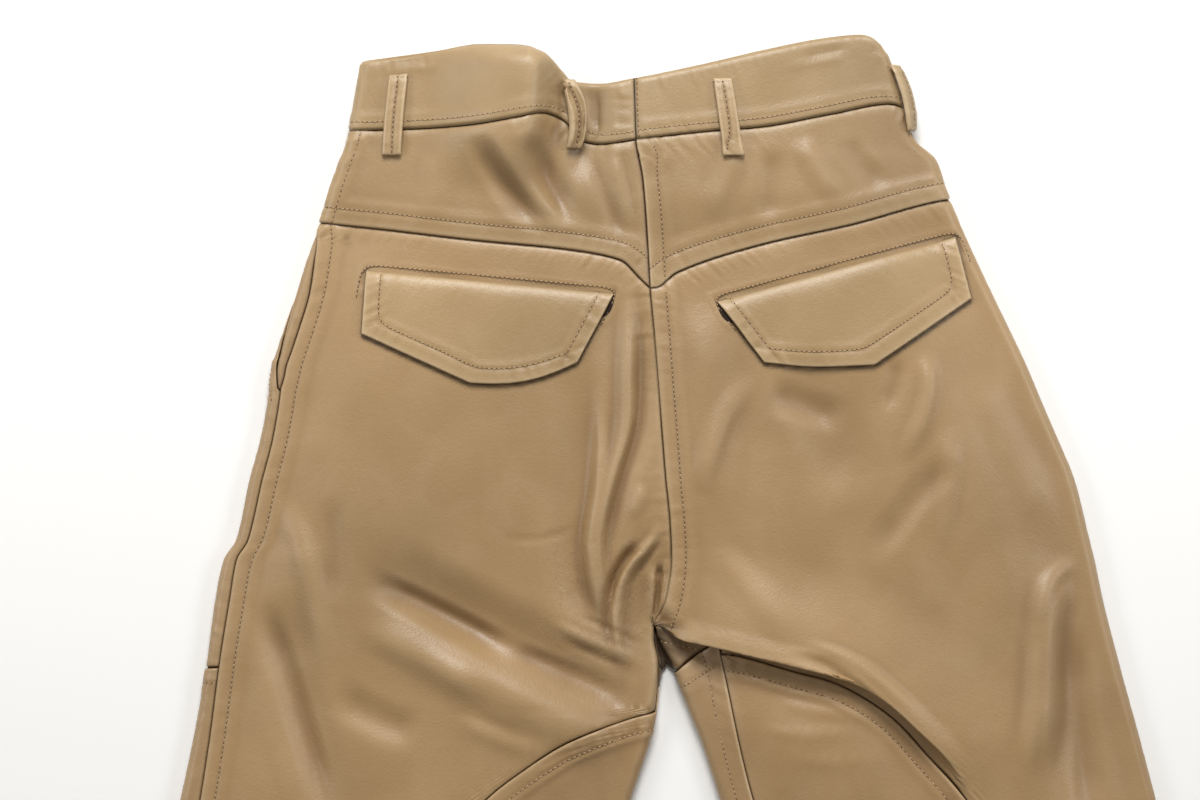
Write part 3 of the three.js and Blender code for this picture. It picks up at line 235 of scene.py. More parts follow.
CREASES = (
    # Waistband: scuffed top edge, and small upright creases in its dip.
    (-141, 199, -120, 202, -97, 205, -0.8, 3, 4),
    (-128, 196, -112, 199, -90, 200, 0.8, 3, 4),
    (-138, 193, -122, 195, -104, 198, -0.6, 3, 4),
    (118, 204, 132, 208, 150, 211, -0.9, 3, 4),
    (108, 199, 128, 202, 150, 206, 0.6, 3, 4),
    (-8, 184, -9, 168, -8, 156, 0.9, 3, 3),
    (-1, 186, -2, 168, 0, 156, -0.9, 3, 3),
    (7, 186, 7, 170, 10, 156, 0.6, 4, 4),
    # Yoke.
    (-102, 150, -98, 128, -104, 104, 1.0, 14, 10),
    (-4, 146, 2, 124, 16, 92, -1.8, 6, 8),
    (8, 148, 12, 128, 20, 100, 1.5, 5, 6),
    (84, 156, 78, 134, 62, 106, 1.8, 10, 12),
    (100, 152, 106, 130, 96, 104, -2.2, 14, 12),
    (120, 158, 126, 140, 146, 118, 1.8, 10, 12),
    (146, 156, 154, 142, 172, 126, -1.6, 10, 12),
    # Left seat.
    (-62, -82, -34, -86, -14, -76, -0.7, 2, 3),
    # Left thigh.
    (-142, -104, -92, -128, -48, -152, -5.5, 9, 15),
    (-60, -146, -20, -162, 22, -182, -3.0, 8, 12),
    (-150, -132, -100, -156, -62, -178, 2.4, 14, 14),
    (-160, -172, -134, -194, -104, -198, -3.0, 14, 16),
    (-202, -118, -184, -172, -160, -252, -3.8, 10, 13),
    (-190, -56, -170, -106, -164, -160, 2.4, 12, 12),
    (-162, -56, -160, -90, -158, -124, -1.8, 12, 12),
    (-30, -132, -6, -146, 30, -158, 1.4, 5, 5),
    (-26, -142, 2, -156, 32, -168, -1.4, 4, 4),
    (-14, -128, 12, -140, 32, -150, -1.0, 3, 4),
    (-88, -188, -60, -206, -28, -212, 1.6, 9, 9),
    # Right seat: shallow hollows below the flap.
    (92, 16, 66, -16, 60, -60, 2.2, 10, 12),
    (98, 4, 120, -2, 150, -12, -2.8, 14, 14),
    (176, 26, 180, 10, 168, -8, -1.6, 9, 9),
    (192, 30, 206, 4, 178, -40, 2.4, 9, 9),
    (214, -34, 184, -58, 162, -98, -2.4, 12, 14),
    (208, -14, 212, -50, 200, -96, 1.8, 10, 12),
    (64, -84, 92, -116, 126, -140, 1.6, 14, 14),
    (220, 20, 252, -30, 268, -84, 1.2, 16, 16),
    # Roll below the right seat, and its second edge.
    (112, -146, 160, -152, 196, -204, -2.4, 4, 4),
    (120, -142, 162, -144, 204, -196, 1.4, 5, 5),
    (150, -174, 186, -190, 214, -240, 1.6, 4, 4),
    # Right thigh.
    (296, -100, 262, -92, 259, -150, 1.6, 8, 9),
    (259, -130, 260, -180, 252, -240, 2.4, 9, 9),
    (282, -112, 272, -160, 278, -250, -3.4, 10, 11),
    (304, -126, 318, -180, 332, -246, 1.2, 5, 6),
    (96, -196, 120, -204, 160, -196, 0.7, 5, 6),
    (110, -214, 140, -220, 178, -212, 0.6, 5, 6),
    (104, -180, 130, -188, 168, -190, 0.8, 7, 7),
    # Below the knees.
    (-60, -440, -80, -452, -112, -460, 1.6, 10, 10),
    (-240, -448, -200, -470, -150, -476, 1.8, 12, 12),
    (-250, -300, -210, -360, -200, -430, 1.8, 16, 16),
    (-130, -300, -140, -350, -120, -420, -1.8, 14, 14),
    (210, -452, 240, -474, 290, -480, 1.8, 12, 12),
    (330, -400, 300, -420, 262, -424, 1.6, 12, 12),
    (200, -300, 230, -360, 220, -430, 1.8, 16, 16),
    (330, -300, 320, -350, 336, -420, -1.6, 14, 14),
)


# ---------------- maths
def mix(a: Values, b: Values, t: Values) -> Values:
    """Blend a into b by t."""
    return a + (b - a) * t


def smooth(t: Values) -> Values:
    """Smooth step from 0 to 1."""
    t = np.clip(t, 0.0, 1.0)
    return t * t * (3.0 - 2.0 * t)


def quarter_arc(a: Values, b: Values) -> Values:
    """Length of a quarter of an ellipse."""
    return (math.pi / 2) * np.sqrt((np.square(a) + np.square(b)) / 2)


EDGE_QUARTER = float(quarter_arc(EDGE_RADIUS, EDGE_RADIUS))


class Profile:
    """A smooth function through table rows that never overshoots between them."""

    def __init__(self, rows: Sequence[Sequence[float]], column: int = 1) -> None:
        """Fit one column of the rows over their first."""
        table = sorted(rows, key=lambda row: row[0])
        self.xs = np.array([row[0] for row in table], float)
        self.ys = np.array([row[column] for row in table], float)
        secants = np.diff(self.ys) / np.diff(self.xs)
        before = np.concatenate([secants[:1], secants])
        after = np.concatenate([secants, secants[-1:]])
        same = before * after > 0
        total = np.where(same, before + after, 1.0)
        self.slopes = np.where(same, 2 * before * after / total, 0.0)

    def __call__(self, x: Values) -> Array:
        """Value at x, held level past both ends."""
        at = np.clip(x, self.xs[0], self.xs[-1])
        k = np.clip(np.searchsorted(self.xs, at, side="left") - 1, 0, len(self.xs) - 2)
        span = self.xs[k + 1] - self.xs[k]
        t = (at - self.xs[k]) / span
        rise = (3 - 2 * t) * t * t
        bend = self.slopes[k] * (1 - t) - self.slopes[k + 1] * t
        return self.ys[k] * (1 - rise) + self.ys[k + 1] * rise + span * t * (1 - t) * bend


def catmull_rom(points: Array, count: int) -> Array:
    """Even places along a centripetal curve through points.

    Args:
        points: the places that it passes.
        count: how many steps it is cut into.

    Returns:
        count + 1 places.
    """
    ends = np.vstack([2 * points[0] - points[1], points, 2 * points[-1] - points[-2]])
    gaps = np.sqrt(np.linalg.norm(np.diff(ends, axis=0), axis=1))
    t = np.linspace(0, 1, 40, endpoint=False)[:, None]
    dense = []
    for k in range(1, len(ends) - 2):
        p0, p1, p2, p3 = ends[k - 1:k + 3]
        d0, d1, d2 = gaps[k - 1:k + 2]
        m1 = ((p1 - p0) / d0 - (p2 - p0) / (d0 + d1) + (p2 - p1) / d1) * d1
        m2 = ((p2 - p1) / d1 - (p3 - p1) / (d1 + d2) + (p3 - p2) / d2) * d1
        dense.append(p1 + m1 * t + (3 * (p2 - p1) - 2 * m1 - m2) * t ** 2
                     + (2 * (p1 - p2) + m1 + m2) * t ** 3)
    line = np.vstack([*dense, points[-1:]])
    return along(line, np.linspace(0, length_of(line), count + 1))


def lengths(line: Array) -> Array:
    """Running length along a line of places."""
    return np.concatenate([[0.0], np.cumsum(np.linalg.norm(np.diff(line, axis=0), axis=1))])


def length_of(line: Array) -> float:
    """Whole length of a line of places."""
    return float(lengths(line)[-1])


def along(line: Array, stations: Array) -> Array:
    """Places on a line at given lengths from its start."""
    run = lengths(line)
    return np.column_stack([np.interp(stations, run, line[:, axis]) for axis in range(line.shape[1])])


class Foot(NamedTuple):
    """Where points stand beside a line: their nearest step, and the way from it."""

    number: Array
    share: Array
    step: Array
    length: Array
    gap: Array
    distance: Array


def foot_on(line: Array, points: Array) -> Foot:
    """Find the nearest step of a line to each point.

    Args:
        line: places in order, joined by straight steps.
        points: the places to look from.

    Returns:
        The step's number, the share of the way along it, its run and length, and the gap and the
        distance from it.
    """
    starts, steps = line[:-1], np.diff(line, axis=0)
    size = np.maximum(np.einsum("ij,ij->i", steps, steps), 1e-12)
    rel = points[:, None, :] - starts[None]
    t = np.clip(np.einsum("nij,ij->ni", rel, steps) / size, 0, 1)
    gap = rel - t[..., None] * steps[None]
    squares = np.einsum("nij,nij->ni", gap, gap)
    k = np.argmin(squares, axis=1)
    rows = np.arange(len(points))
    return Foot(k, t[rows, k], steps[k], np.sqrt(size[k]), gap[rows, k], np.sqrt(squares[rows, k]))


def nearest(line: Array, points: Array) -> tuple[Array, Array]:
    """Distance of points from a line, and how far along it their nearest places are."""
    run = lengths(line)
    distance, station = np.empty(len(points)), np.empty(len(points))
    for low in range(0, len(points), POINTS_AT_ONCE):
        part = slice(low, low + POINTS_AT_ONCE)
        foot = foot_on(line, points[part])
        distance[part] = foot.distance
        station[part] = run[foot.number] + foot.share * foot.length
    return distance, station


class Ripple:
    """Uneven waves along a line or over the plan, the same at every run."""

    def __init__(self, seed: int, waves: Sequence[float]) -> None:
        """Draw a phase, a heading and a weight for each wave length."""
        draw = np.random.default_rng(seed)
        self.waves = np.array(waves, float)
        self.phases = draw.uniform(0, 2 * math.pi, len(waves))
        self.headings = draw.uniform(0, math.pi, len(waves))
        self.weights = draw.uniform(0.6, 1.0, len(waves))

    def line(self, s: Array) -> Array:
        """Height along a line, about -1 to 1."""
        return self._sum(s[:, None])

    def plan(self, x: Array, y: Array) -> Array:
        """Height over the plan, about -1 to 1."""
        return self._sum(x[:, None] * np.cos(self.headings) + y[:, None] * np.sin(self.headings))

    def _sum(self, run: Array) -> Array:
        """All waves together, at the way run along each."""
        turn = 2 * math.pi * run / self.waves + self.phases
        return (np.sin(turn) * self.weights).sum(axis=1) / math.sqrt(len(self.waves))


# ---------------- laid leather
@dataclass(frozen=True)
class Side:
    """One half of the garment, as it is laid."""

    name: str
    inward: int
    outer: Profile
    inner: Profile
    side_seam: Profile

    @staticmethod
    def named(name: str) -> Side:
        """Side of a name, left or right."""
        column = 1 if name == "left" else 2
        return Side(name, 1 if name == "left" else -1, Profile(OUTLINE, column),
                    Profile(INNER_EDGES, column), Profile(SIDE_SEAMS, column))


class InnerFold(NamedTuple):
    """Section of a leg's inner fold."""

    radius: Array
    half: Array
    width: Array
    quarter: Array
    straight: Array


class FoldLine:
    """A fold's curve, and the height and lean that it gives to places near it."""

    def __init__(self, points: Array, rise: float, left: float, right: float, lean: float = 0.0,
                 fades: tuple[float, float] = (0.3, 0.3)) -> None:
        """Keep the curve, its rise and half widths, and the share over which each end fades."""
        self.points = points
        self.rise, self.left, self.right, self.lean, self.fades = rise, left, right, lean, fades
        reach = max(left, right)
        self.low = self.points.min(axis=0) - reach
        self.high = self.points.max(axis=0) + reach

    @staticmethod
    def of(x0: float, y0: float, x1: float, y1: float, x2: float, y2: float, *form: float) -> FoldLine:
        """A bent fold between two places by way of a third, with its rise and half widths."""
        t = np.linspace(0, 1, 15)[:, None]
        a, b, c = (np.array(spot, float) for spot in ((x0, y0), (x1, y1), (x2, y2)))
        return FoldLine(a * (1 - t) ** 2 + 2 * b * t * (1 - t) + c * t ** 2, *form)

    def add_to(self, x: Array, y: Array, height: Array, lean: Array) -> None:
        """Add this fold's height and lean.

        Args:
            x: across the back, of each place.
            y: up to the waist, of each place.
            height: the height so far, which grows in place.
            lean: the sideways shift so far, as rows of x and y, which grows in place.
        """
        near = np.flatnonzero((x > self.low[0]) & (x < self.high[0])
                              & (y > self.low[1]) & (y < self.high[1]))
        if len(near) == 0:
            return
        foot = foot_on(self.points, np.column_stack([x[near], y[near]]))
        run = (foot.number + foot.share) / (len(self.points) - 1)
        cross = foot.step[:, 0] * foot.gap[:, 1] - foot.step[:, 1] * foot.gap[:, 0]
        width = np.where(cross > 0, self.left, self.right)
        ends = smooth(run / self.fades[0]) * smooth((1 - run) / self.fades[1])
        bell = 0.5 * (1 + np.cos(math.pi * foot.distance / width))
        shape = np.where(foot.distance < width, ends * bell, 0.0)
        height[near] += self.rise * shape
        if self.lean:
            ahead = foot.step / foot.length[:, None]
            lean[near] += (self.lean * shape ** 1.5)[:, None] * np.column_stack([ahead[:, 1], -ahead[:, 0]])


class LaidLeather:
    """The whole surface that every piece of leather follows."""

    def __init__(self) -> None:
        """Fit the profiles and folds."""
        self.sides = {name: Side.named(name) for name in ("left", "right")}
        self.seat = Profile(SEAT_SEAM)
        self.front = Profile(FRONT_SEAM)
        self.right_inseam = Profile(RIGHT_INSEAM)
        self.left_inseam = Profile(LEFT_INSEAM)
        self.loft = Profile(LOFT)
        self.band_top = (Profile(BAND_TOP, 1), Profile(BAND_TOP, 2))
        self.band_seam = (Profile(BAND_SEAM, 1), Profile(BAND_SEAM, 2))
        self.yoke_seam = Profile(YOKE_SEAM)
        self.folds = [FoldLine.of(*fold) for fold in FOLDS + CREASES]
        self.folds += [FoldLine(catmull_rom(np.array(run.places, float), 40), run.rise, run.left, run.right,
                                run.lean, (run.head, run.foot)) for run in RUNS]
        self.billow = Ripple(11, (150, 120, 96, 74, 61, 52, 43, 38))

    @staticmethod
    def web(y: Array, gap: Array) -> Array:
        """How far the lower half of an inner fold bulges into the slit below the crotch."""
        return np.maximum(gap, 0) * (1 - smooth((WEB_FOOT - y) / WEB_FADE))

    @staticmethod
    def slit_shade(points: Array) -> Array:
        """Painted shade in the narrow slit below the crotch and in the corner under the roll, from 0 to 1.
        """
        x, y, z = points.T
        below = smooth((SLIT_TOP - y) / 4)
        beside = smooth((16 - np.abs(x - SLIT_X)) / 8)
        # painted shade, darker further down into the slit
        deep_shade = beside * below * smooth((y - SLIT_FOOT) / 18) * smooth((8.6 - z) / 5.0)
        # painted shadow of the roll over the right thigh's corner beside the slit
        seam_y = THIGH_SEAM_AT[1] + THIGH_SEAM_SLOPE * (x - THIGH_SEAM_AT[0])
        corner = smooth((57 - x) / 22) * smooth((x - 33.6) / 1.5)
        shaded = corner * smooth((y - seam_y) / 1.2) * smooth((11.5 - z) / 1.5)
        return np.maximum(deep_shade, 0.8 * shaded * below)

    @staticmethod
    def floor_rise(y: Values) -> Values:
        """Height of the flat underside, which rises under the waistband."""
        return FRONT_RISE * smooth((y - UNDERSIDE_TOP) / UNDERSIDE_RUN)

    def inner_fold(self, side: Side, y: Array) -> InnerFold:
        """Section of a leg's inner fold at y."""
        below = CROTCH_Y - y
        radius = mix(CROTCH_RADIUS, EDGE_RADIUS, smooth(below / 18))
        half = mix(CROTCH_HEIGHT / 2, EDGE_RADIUS, smooth(below / 40))
        width = np.abs(side.inner(np.minimum(y, CROTCH_Y)) - side.outer(y)) - SLIT / 2
        return InnerFold(radius, half, width, quarter_arc(radius, half), width - EDGE_RADIUS - radius)

    def back_height(self, x: Array, y: Array) -> tuple[Array, Array]:
        """Work out the back's form.

        Args:
            x: across the back, of each place.
            y: up to the waist, of each place.

        Returns:
            The height of its outer face over the surface that it lies on, and its sideways lean.
        """
        left, right = self.sides["left"], self.sides["right"]
        is_left = x < CROTCH_X
        is_leg = y <= CROTCH_Y
        low = np.minimum(y, CROTCH_Y)
        inner_gap = np.where(is_left, left.inner(low) - x, x - right.inner(low))
        to_crotch = np.hypot(x - CROTCH_X, y - CROTCH_Y)
        to_inner = np.where(is_leg, np.maximum(0, inner_gap), to_crotch)
        to_outer = np.minimum(x - left.outer(y), right.outer(y) - x)
        fold = self.inner_fold(left, y)
        from_outer = np.maximum(0, to_outer - EDGE_RADIUS)
        from_inner = np.maximum(0, to_inner - fold.radius)
        edge = mix(2 * fold.half, 2 * EDGE_RADIUS, smooth(from_inner / 60))
        swell = (1 - np.exp(-(from_outer / 40) ** 2)) * (1 - np.exp(-(from_inner / 35) ** 2))
        calm = smooth(from_outer / 16) * smooth(from_inner / 16)
        folds = 0.45 * self.billow.plan(x, y)
        lean = np.zeros((len(x), 2))
        for line in self.folds:
            line.add_to(x, y, folds, lean)
        height = edge + self.loft(y) * swell + folds * calm
        return self.floor_rise(y) + np.maximum(height, 4 * LEATHER), lean * calm[:, None]

    def place(self, side: Side, arc: Array, y: Array, leg: Array) -> Array:
        """Find places on the leather's outer face.

        Args:
            side: the half of the garment.
            arc: along the leather from the outer fold, positive over the back.
            y: up to the waist.
            leg: whether each place is on a leg, with an inner fold.

        Returns:
            Rows of x, y and z in the plan.
        """
        reach = np.abs(arc)
        floor = self.floor_rise(y)
        fold = self.inner_fold(side, y)
        over = reach - EDGE_QUARTER - fold.straight
        is_outer = reach < EDGE_QUARTER
        is_round = leg & ~is_outer & (over > 0) & (over < 2 * fold.quarter)
        is_past = leg & ~is_outer & (over >= 2 * fold.quarter)
        across = np.where(is_past, fold.width - fold.radius - (over - 2 * fold.quarter),
                          EDGE_RADIUS + reach - EDGE_QUARTER)
        on_back = np.where(is_past, arc <= 0, arc > 0)
        turn = np.clip(arc / EDGE_QUARTER, -1, 1) * (math.pi / 2)
        side_turn = (1 - over / fold.quarter) * (math.pi / 2) * np.where(arc > 0, 1, -1)
        low = np.minimum(y, CROTCH_Y)
        gap = (self.sides["right"].inner(low) - self.sides["left"].inner(low)) / 2
        web = self.web(y, gap + SLIT / 2 + (0.3 * fold.radius + 0.15) * smooth(gap / 1.5))
        far = np.where(on_back | ~is_past, 0.0, over - 2 * fold.quarter)
        under = leg & ~on_back & (over > -20)
        across = np.where(is_outer, EDGE_RADIUS * (1 - np.cos(turn)), across)
        across = np.where(is_round, fold.width - fold.radius * (1 - np.cos(side_turn)), across)
        inwards = np.where(is_round, smooth(-side_turn / 0.8), 1 - smooth(np.maximum(far, -over) / 20))
        across = across + np.where(is_round | under | (is_past & ~on_back), web * inwards, 0.0)
        x = side.outer(y) + side.inward * across
        height, lean = self.back_height(x, y)
        z = np.where(on_back, height, floor)
        z = np.where(is_outer, floor + EDGE_RADIUS * (1 + np.sin(turn)), z)
        z = np.where(is_round, floor + fold.half * (1 + np.sin(side_turn)), z)
        leans = (on_back & ~is_outer & ~is_round)[:, None] * lean
        return np.column_stack([x + leans[:, 0], y + leans[:, 1], z])

    def place_with_normal(self, side: Side, places: Array) -> tuple[Array, Array]:
        """Outer face at places, and the leather's normals there."""
        arc, y = places[:, 0], places[:, 1]
        leg = y <= CROTCH_Y + 1e-6
        step = 0.4
        by_arc = self.place(side, arc + step, y, leg) - self.place(side, arc - step, y, leg)
        by_y = self.place(side, arc, y + step, leg) - self.place(side, arc, y - step, leg)
        normal = np.cross(by_arc, by_y) * side.inward
        normal /= np.maximum(np.linalg.norm(normal, axis=1), 1e-9)[:, None]
        return self.place(side, arc, y, leg), normal

    def arc_at(self, side: Side, x: Values, y: Values) -> Array:
        """Arc on the back of places given by x."""
        across = (x - side.outer(y)) * side.inward
        on_fold = EDGE_QUARTER * np.arccos(np.clip(1 - across / EDGE_RADIUS, 0, 1)) / (math.pi / 2)
        return np.where(across >= EDGE_RADIUS, EDGE_QUARTER + across - EDGE_RADIUS, on_fold)

    def x_at(self, side: Side, arc: Values, y: Values) -> Values:
        """Plain x of an arc, the same over and under the outer fold."""
        reach = np.abs(arc)
        curve = EDGE_RADIUS * (1 - np.cos(np.minimum(reach / EDGE_QUARTER, 1) * (math.pi / 2)))
        across = np.where(reach < EDGE_QUARTER, curve, EDGE_RADIUS + reach - EDGE_QUARTER)
        return side.outer(y) + side.inward * across

    def _stretch_marks(self, side: Side, y: Values, factor: float) -> tuple[Values, ...]:
        """Lengths of the plain and stretched arc up to each mark: outer fold, flat, inner fold."""
        fold = self.inner_fold(side, y)
        share = smooth((CROTCH_Y + STRETCH_FADE - y) / STRETCH_FADE)
        rate = 1 + share * (factor - 1)
        flat_end = EDGE_QUARTER + fold.straight
        over_end = flat_end + 2 * fold.quarter
        first = EDGE_QUARTER * factor
        second = first + fold.straight
        return flat_end, over_end, rate, first, second, second + 2 * fold.quarter * rate

    def stretch(self, side: Side, arc: Values, y: Values, factor: float = EDGE_STRETCH) -> Values:
        """Arc with the folded edges stretched, so that even steps there are fine ones."""
        flat_end, over_end, rate, first, second, third = self._stretch_marks(side, y, factor)
        reach = np.abs(arc)
        value = np.where(reach < EDGE_QUARTER, reach * factor, first + reach - EDGE_QUARTER)
        value = np.where(reach > flat_end, second + (reach - flat_end) * rate, value)
        value = np.where(reach > over_end, third + reach - over_end, value)
        return np.sign(arc) * value

    def unstretch(self, side: Side, stretched: Values, y: Values, factor: float = EDGE_STRETCH) -> Values:
        """Plain arc of a stretched one."""
        flat_end, over_end, rate, first, second, third = self._stretch_marks(side, y, factor)
        reach = np.abs(stretched)
        value = np.where(reach < first, reach / factor, EDGE_QUARTER + reach - first)
        value = np.where(reach > second, flat_end + (reach - second) / rate, value)
        value = np.where(reach > third, over_end + reach - third, value)
        return np.sign(stretched) * value


# ---------------- seams
def joined(*rows: Array) -> Array:
    """Rows of places end to end, without the doubled places."""
    return np.vstack([rows[0], *(row[1:] for row in rows[1:])])


def levels(start: float, end: float, count: int, ease: float) -> Array:
    """Values from start to end with shorter steps at the start."""
    t = np.arange(count + 1) / count
    return mix(start, end, mix(t, t * t, ease))


class Seams:
    """Every seam of one half, as rows of places."""

    def __init__(self, leather: LaidLeather, side: Side, fineness: int = 6) -> None:
        """Work out the seams.

        Args:
            leather: the surface that they lie on.
            side: the half of the garment.
            fineness: how many parts each step of the coarse cut has.
        """
        self.leather, self.side = leather, side
        n = {key: count * fineness for key, count in STEPS.items()}
        name = side.name
        by_side = side.side_seam

        def seat(y: Values) -> Values:
            """Arc of the back seam."""
            return leather.arc_at(side, leather.seat(y), y)

        def front(y: Values) -> Values:
            """Arc of the front seam."""
            return -leather.arc_at(side, leather.front(y), y)

        def over_back(y: Values) -> Values:
            """Arc of the inseam, counted over the back."""
            y = np.asarray(y, float)
            fold = leather.inner_fold(side, y)
            if name == "right":
                arc = leather.arc_at(side, leather.right_inseam(y), y)
            else:
                arc = EDGE_QUARTER + fold.straight + leather.left_inseam(y)
            return np.where(y >= CROTCH_Y, EDGE_QUARTER + fold.straight + fold.quarter, arc)

        def over_front(y: Values) -> Values:
            """Arc of the inseam, counted under the front."""
            fold = leather.inner_fold(side, np.asarray(y, float))
            return over_back(y) - 2 * (EDGE_QUARTER + fold.straight + fold.quarter)

        def base_line(y: Values) -> Values:
            """Arc where the front meets the inner fold."""
            return -(EDGE_QUARTER + leather.inner_fold(side, np.asarray(y, float)).straight)

        def hem(x: Values) -> Values:
            """Height of the hem."""
            return HEM_Y - HEM_TILT * side.inward * (x - HEM[name])

        def band_seam(x: Values, on_back: Values) -> Values:
            """Height of the waistband's seam."""
            return np.where(on_back, leather.band_seam[0](x), leather.band_seam[1](x))

        def band_top(x: Values, on_back: Values) -> Values:
            """Height of the waistband's top edge."""
            return np.where(on_back, leather.band_top[0](x), leather.band_top[1](x))

        down, across, place = self.down, self.across, self.spot
        inseam_hem_y = float(hem(side.inner(HEM_Y)))
        mouth_y = POCKET_MOUTH[name]
        mouth = place(by_side(mouth_y), mouth_y)
        seat_band_y = float(leather.band_seam[0](leather.seat(156)))
        front_band_y = float(leather.band_seam[1](leather.front(143)))

        self.side_yoke = down(by_side, BAND_SIDE[name], YOKE_SIDE[name], n["yoke"])
        self.side_pocket = down(by_side, YOKE_SIDE[name], mouth_y, n["pocket"])
        self.side_hip = down(by_side, mouth_y, HIP_Y, n["hip"])
        self.side_thigh = down(by_side, HIP_Y, THIGH_Y, n["thigh"])
        leg_y = levels(THIGH_Y, float(hem(side.outer(HEM_Y))), n["leg"], LEG_SPACING["side"])
        self.side_leg = np.column_stack([by_side(leg_y), leg_y])
        self.seat_band = down(seat, float(leather.band_top[0](leather.seat(192))), seat_band_y, n["band"])
        self.seat_yoke = down(seat, seat_band_y, YOKE_AT_SEAT, n["yoke"])
        self.seat_down = down(seat, YOKE_AT_SEAT, CROTCH_Y, n["seat"])
        self.seat_down[-1] = over_back(CROTCH_Y), CROTCH_Y
        thigh_y, patch_y = INSEAM_AT_THIGH[name], INSEAM_AT_PATCH[name]
        self.crotch_back = down(over_back, CROTCH_Y, thigh_y, n["crotch"])
        self.under_back = down(over_back, thigh_y, patch_y, n["under"])
        inseam_y = levels(patch_y, inseam_hem_y, n["inner_leg"], LEG_SPACING["inseam"])
        self.inseam_back = np.column_stack([over_back(inseam_y), inseam_y])
        self.crotch_front = self.crotch_back * [0, 1] + np.outer(over_front(self.crotch_back[:, 1]), [1, 0])
        self.under_front = self.under_back * [0, 1] + np.outer(over_front(self.under_back[:, 1]), [1, 0])
        self.inseam_front = np.column_stack([over_front(inseam_y), inseam_y])

        leg_places = [(float(leather.arc_at(side, x, y)), y)
                      for x, y in (*INNER_LEG_SEAM[name], (HEM[name], float(hem(HEM[name]))))]
        inner = catmull_rom(np.array([self.under_back[-1], *leg_places]), 960)
        self.inner_leg = along(inner, levels(0, length_of(inner), n["inner_leg"], LEG_SPACING["inner"]))

        self.band = across(place(seat(seat_band_y), seat_band_y), self.side_yoke[0],
                           n["back_across"], band_seam)
        top_arc = -(EDGE_QUARTER + POCKET_TOP_REACH)
        top_x = leather.x_at(side, top_arc, BAND_SIDE[name])
        slant_top = place(top_arc, float(leather.band_seam[1](top_x)))
        self.band_facing = across(self.side_yoke[0], slant_top, n["facing_across"], band_seam)
        self.band_front = across(slant_top, place(front(front_band_y), front_band_y), n["front_across"],
                                 lambda x, on_back: leather.band_seam[1](x))
        count = n["yoke"] + n["pocket"]
        t = np.arange(count + 1) / count
        slant_y = mix(slant_top[1], mouth[1], t)
        ends = [leather.stretch(side, spot[0], slant_y) for spot in (slant_top, mouth)]
        self.slant = np.column_stack([leather.unstretch(side, mix(ends[0], ends[1], t), slant_y), slant_y])
        self.front_down = down(front, front_band_y, CROTCH_Y, n["front"])
        self.front_down[-1] = base_line(CROTCH_Y), CROTCH_Y
        foot_y = THIGH_Y - THIGH_DROP
        self.wrap_foot = down(base_line, CROTCH_Y, foot_y, n["crotch"])
        self.crotch_wall = across(self.front_down[-1], place(over_front(CROTCH_Y), CROTCH_Y),
                                  n["wrap_across"], None)
        self.thigh_across = across(self.side_thigh[-1], self.wrap_foot[-1], n["front_across"], None)
        wrap_end = place(over_front(thigh_y), thigh_y)
        self.thigh_wrap = across(self.wrap_foot[-1], wrap_end, n["wrap_across"], None,
                                 lambda t: mix(foot_y, wrap_end[1], np.interp(t, WRAP_RUN, WRAP_SHARE)))
        if name == "right":
            self.thigh_wrap = self.slanting(self.thigh_wrap)
        self.hem_outer = across(self.side_leg[-1], self.inner_leg[-1], n["back_across"],
                                lambda x, on_back: hem(x))
        self.hem_inner = across(self.inner_leg[-1], self.inseam_back[-1], n["inner_across"],
                                lambda x, on_back: hem(x))
        self.hem_front = across(self.side_leg[-1], self.inseam_front[-1],
                                n["front_across"] + n["wrap_across"], None)
        self.yoke_line = across(self.side_yoke[-1], self.seat_yoke[-1], n["back_across"],
                                lambda x, on_back: leather.yoke_seam(x))
        self.seat_foot = across(self.side_leg[fineness], self.inner_leg[0], n["back_across"], None)
        self.band_bottom = joined(self.band, self.band_facing, self.band_front)
        front_top_y = float(leather.band_top[1](leather.front(183)))
        self.front_band = down(front, front_top_y, front_band_y, n["band"])
        self.band_edge = across(self.seat_band[0], self.front_band[0], len(self.band_bottom) - 1, band_top)

    def slanting(self, row: Array) -> Array:
        """Make the thigh seam run straight up over the inner fold, as it is seen from above.

        Args:
            row: the seam's places as first laid.

        Returns:
            The places of the straight one.
        """
        low, high = row[0, 1], row[-1, 1]
        arc, y = row[:, 0], row[:, 1]
        leg = np.ones(len(arc), bool)
        end_x = self.leather.place(self.side, arc, y, leg)[-1, 0]
        for _ in range(SLANT_PASSES):
            fold = self.leather.inner_fold(self.side, y)
            over = np.abs(arc) - EDGE_QUARTER - fold.straight
            edge_x = self.side.outer(y) + self.side.inward * fold.width
            x = self.leather.place(self.side, arc, y, leg)[:, 0]
            share = np.clip((x - edge_x) / (end_x - edge_x), 0, 1) * (over > fold.quarter)
            y = mix(y, mix(low, high, share), 0.7)
        slanted = np.column_stack([arc, y])
        slanted[0], slanted[-1] = row[0], row[-1]
        return slanted

    @staticmethod
    def spot(arc: float, y: float) -> Array:
        """One place."""
        return np.array([float(arc), float(y)])

    @staticmethod
    def down(arc_of: Callable, top: float, bottom: float, count: int) -> Array:
        """A seam down the garment, whose arc is a function of y."""
        y = np.linspace(top, bottom, count + 1)
        return np.column_stack([arc_of(y), y])

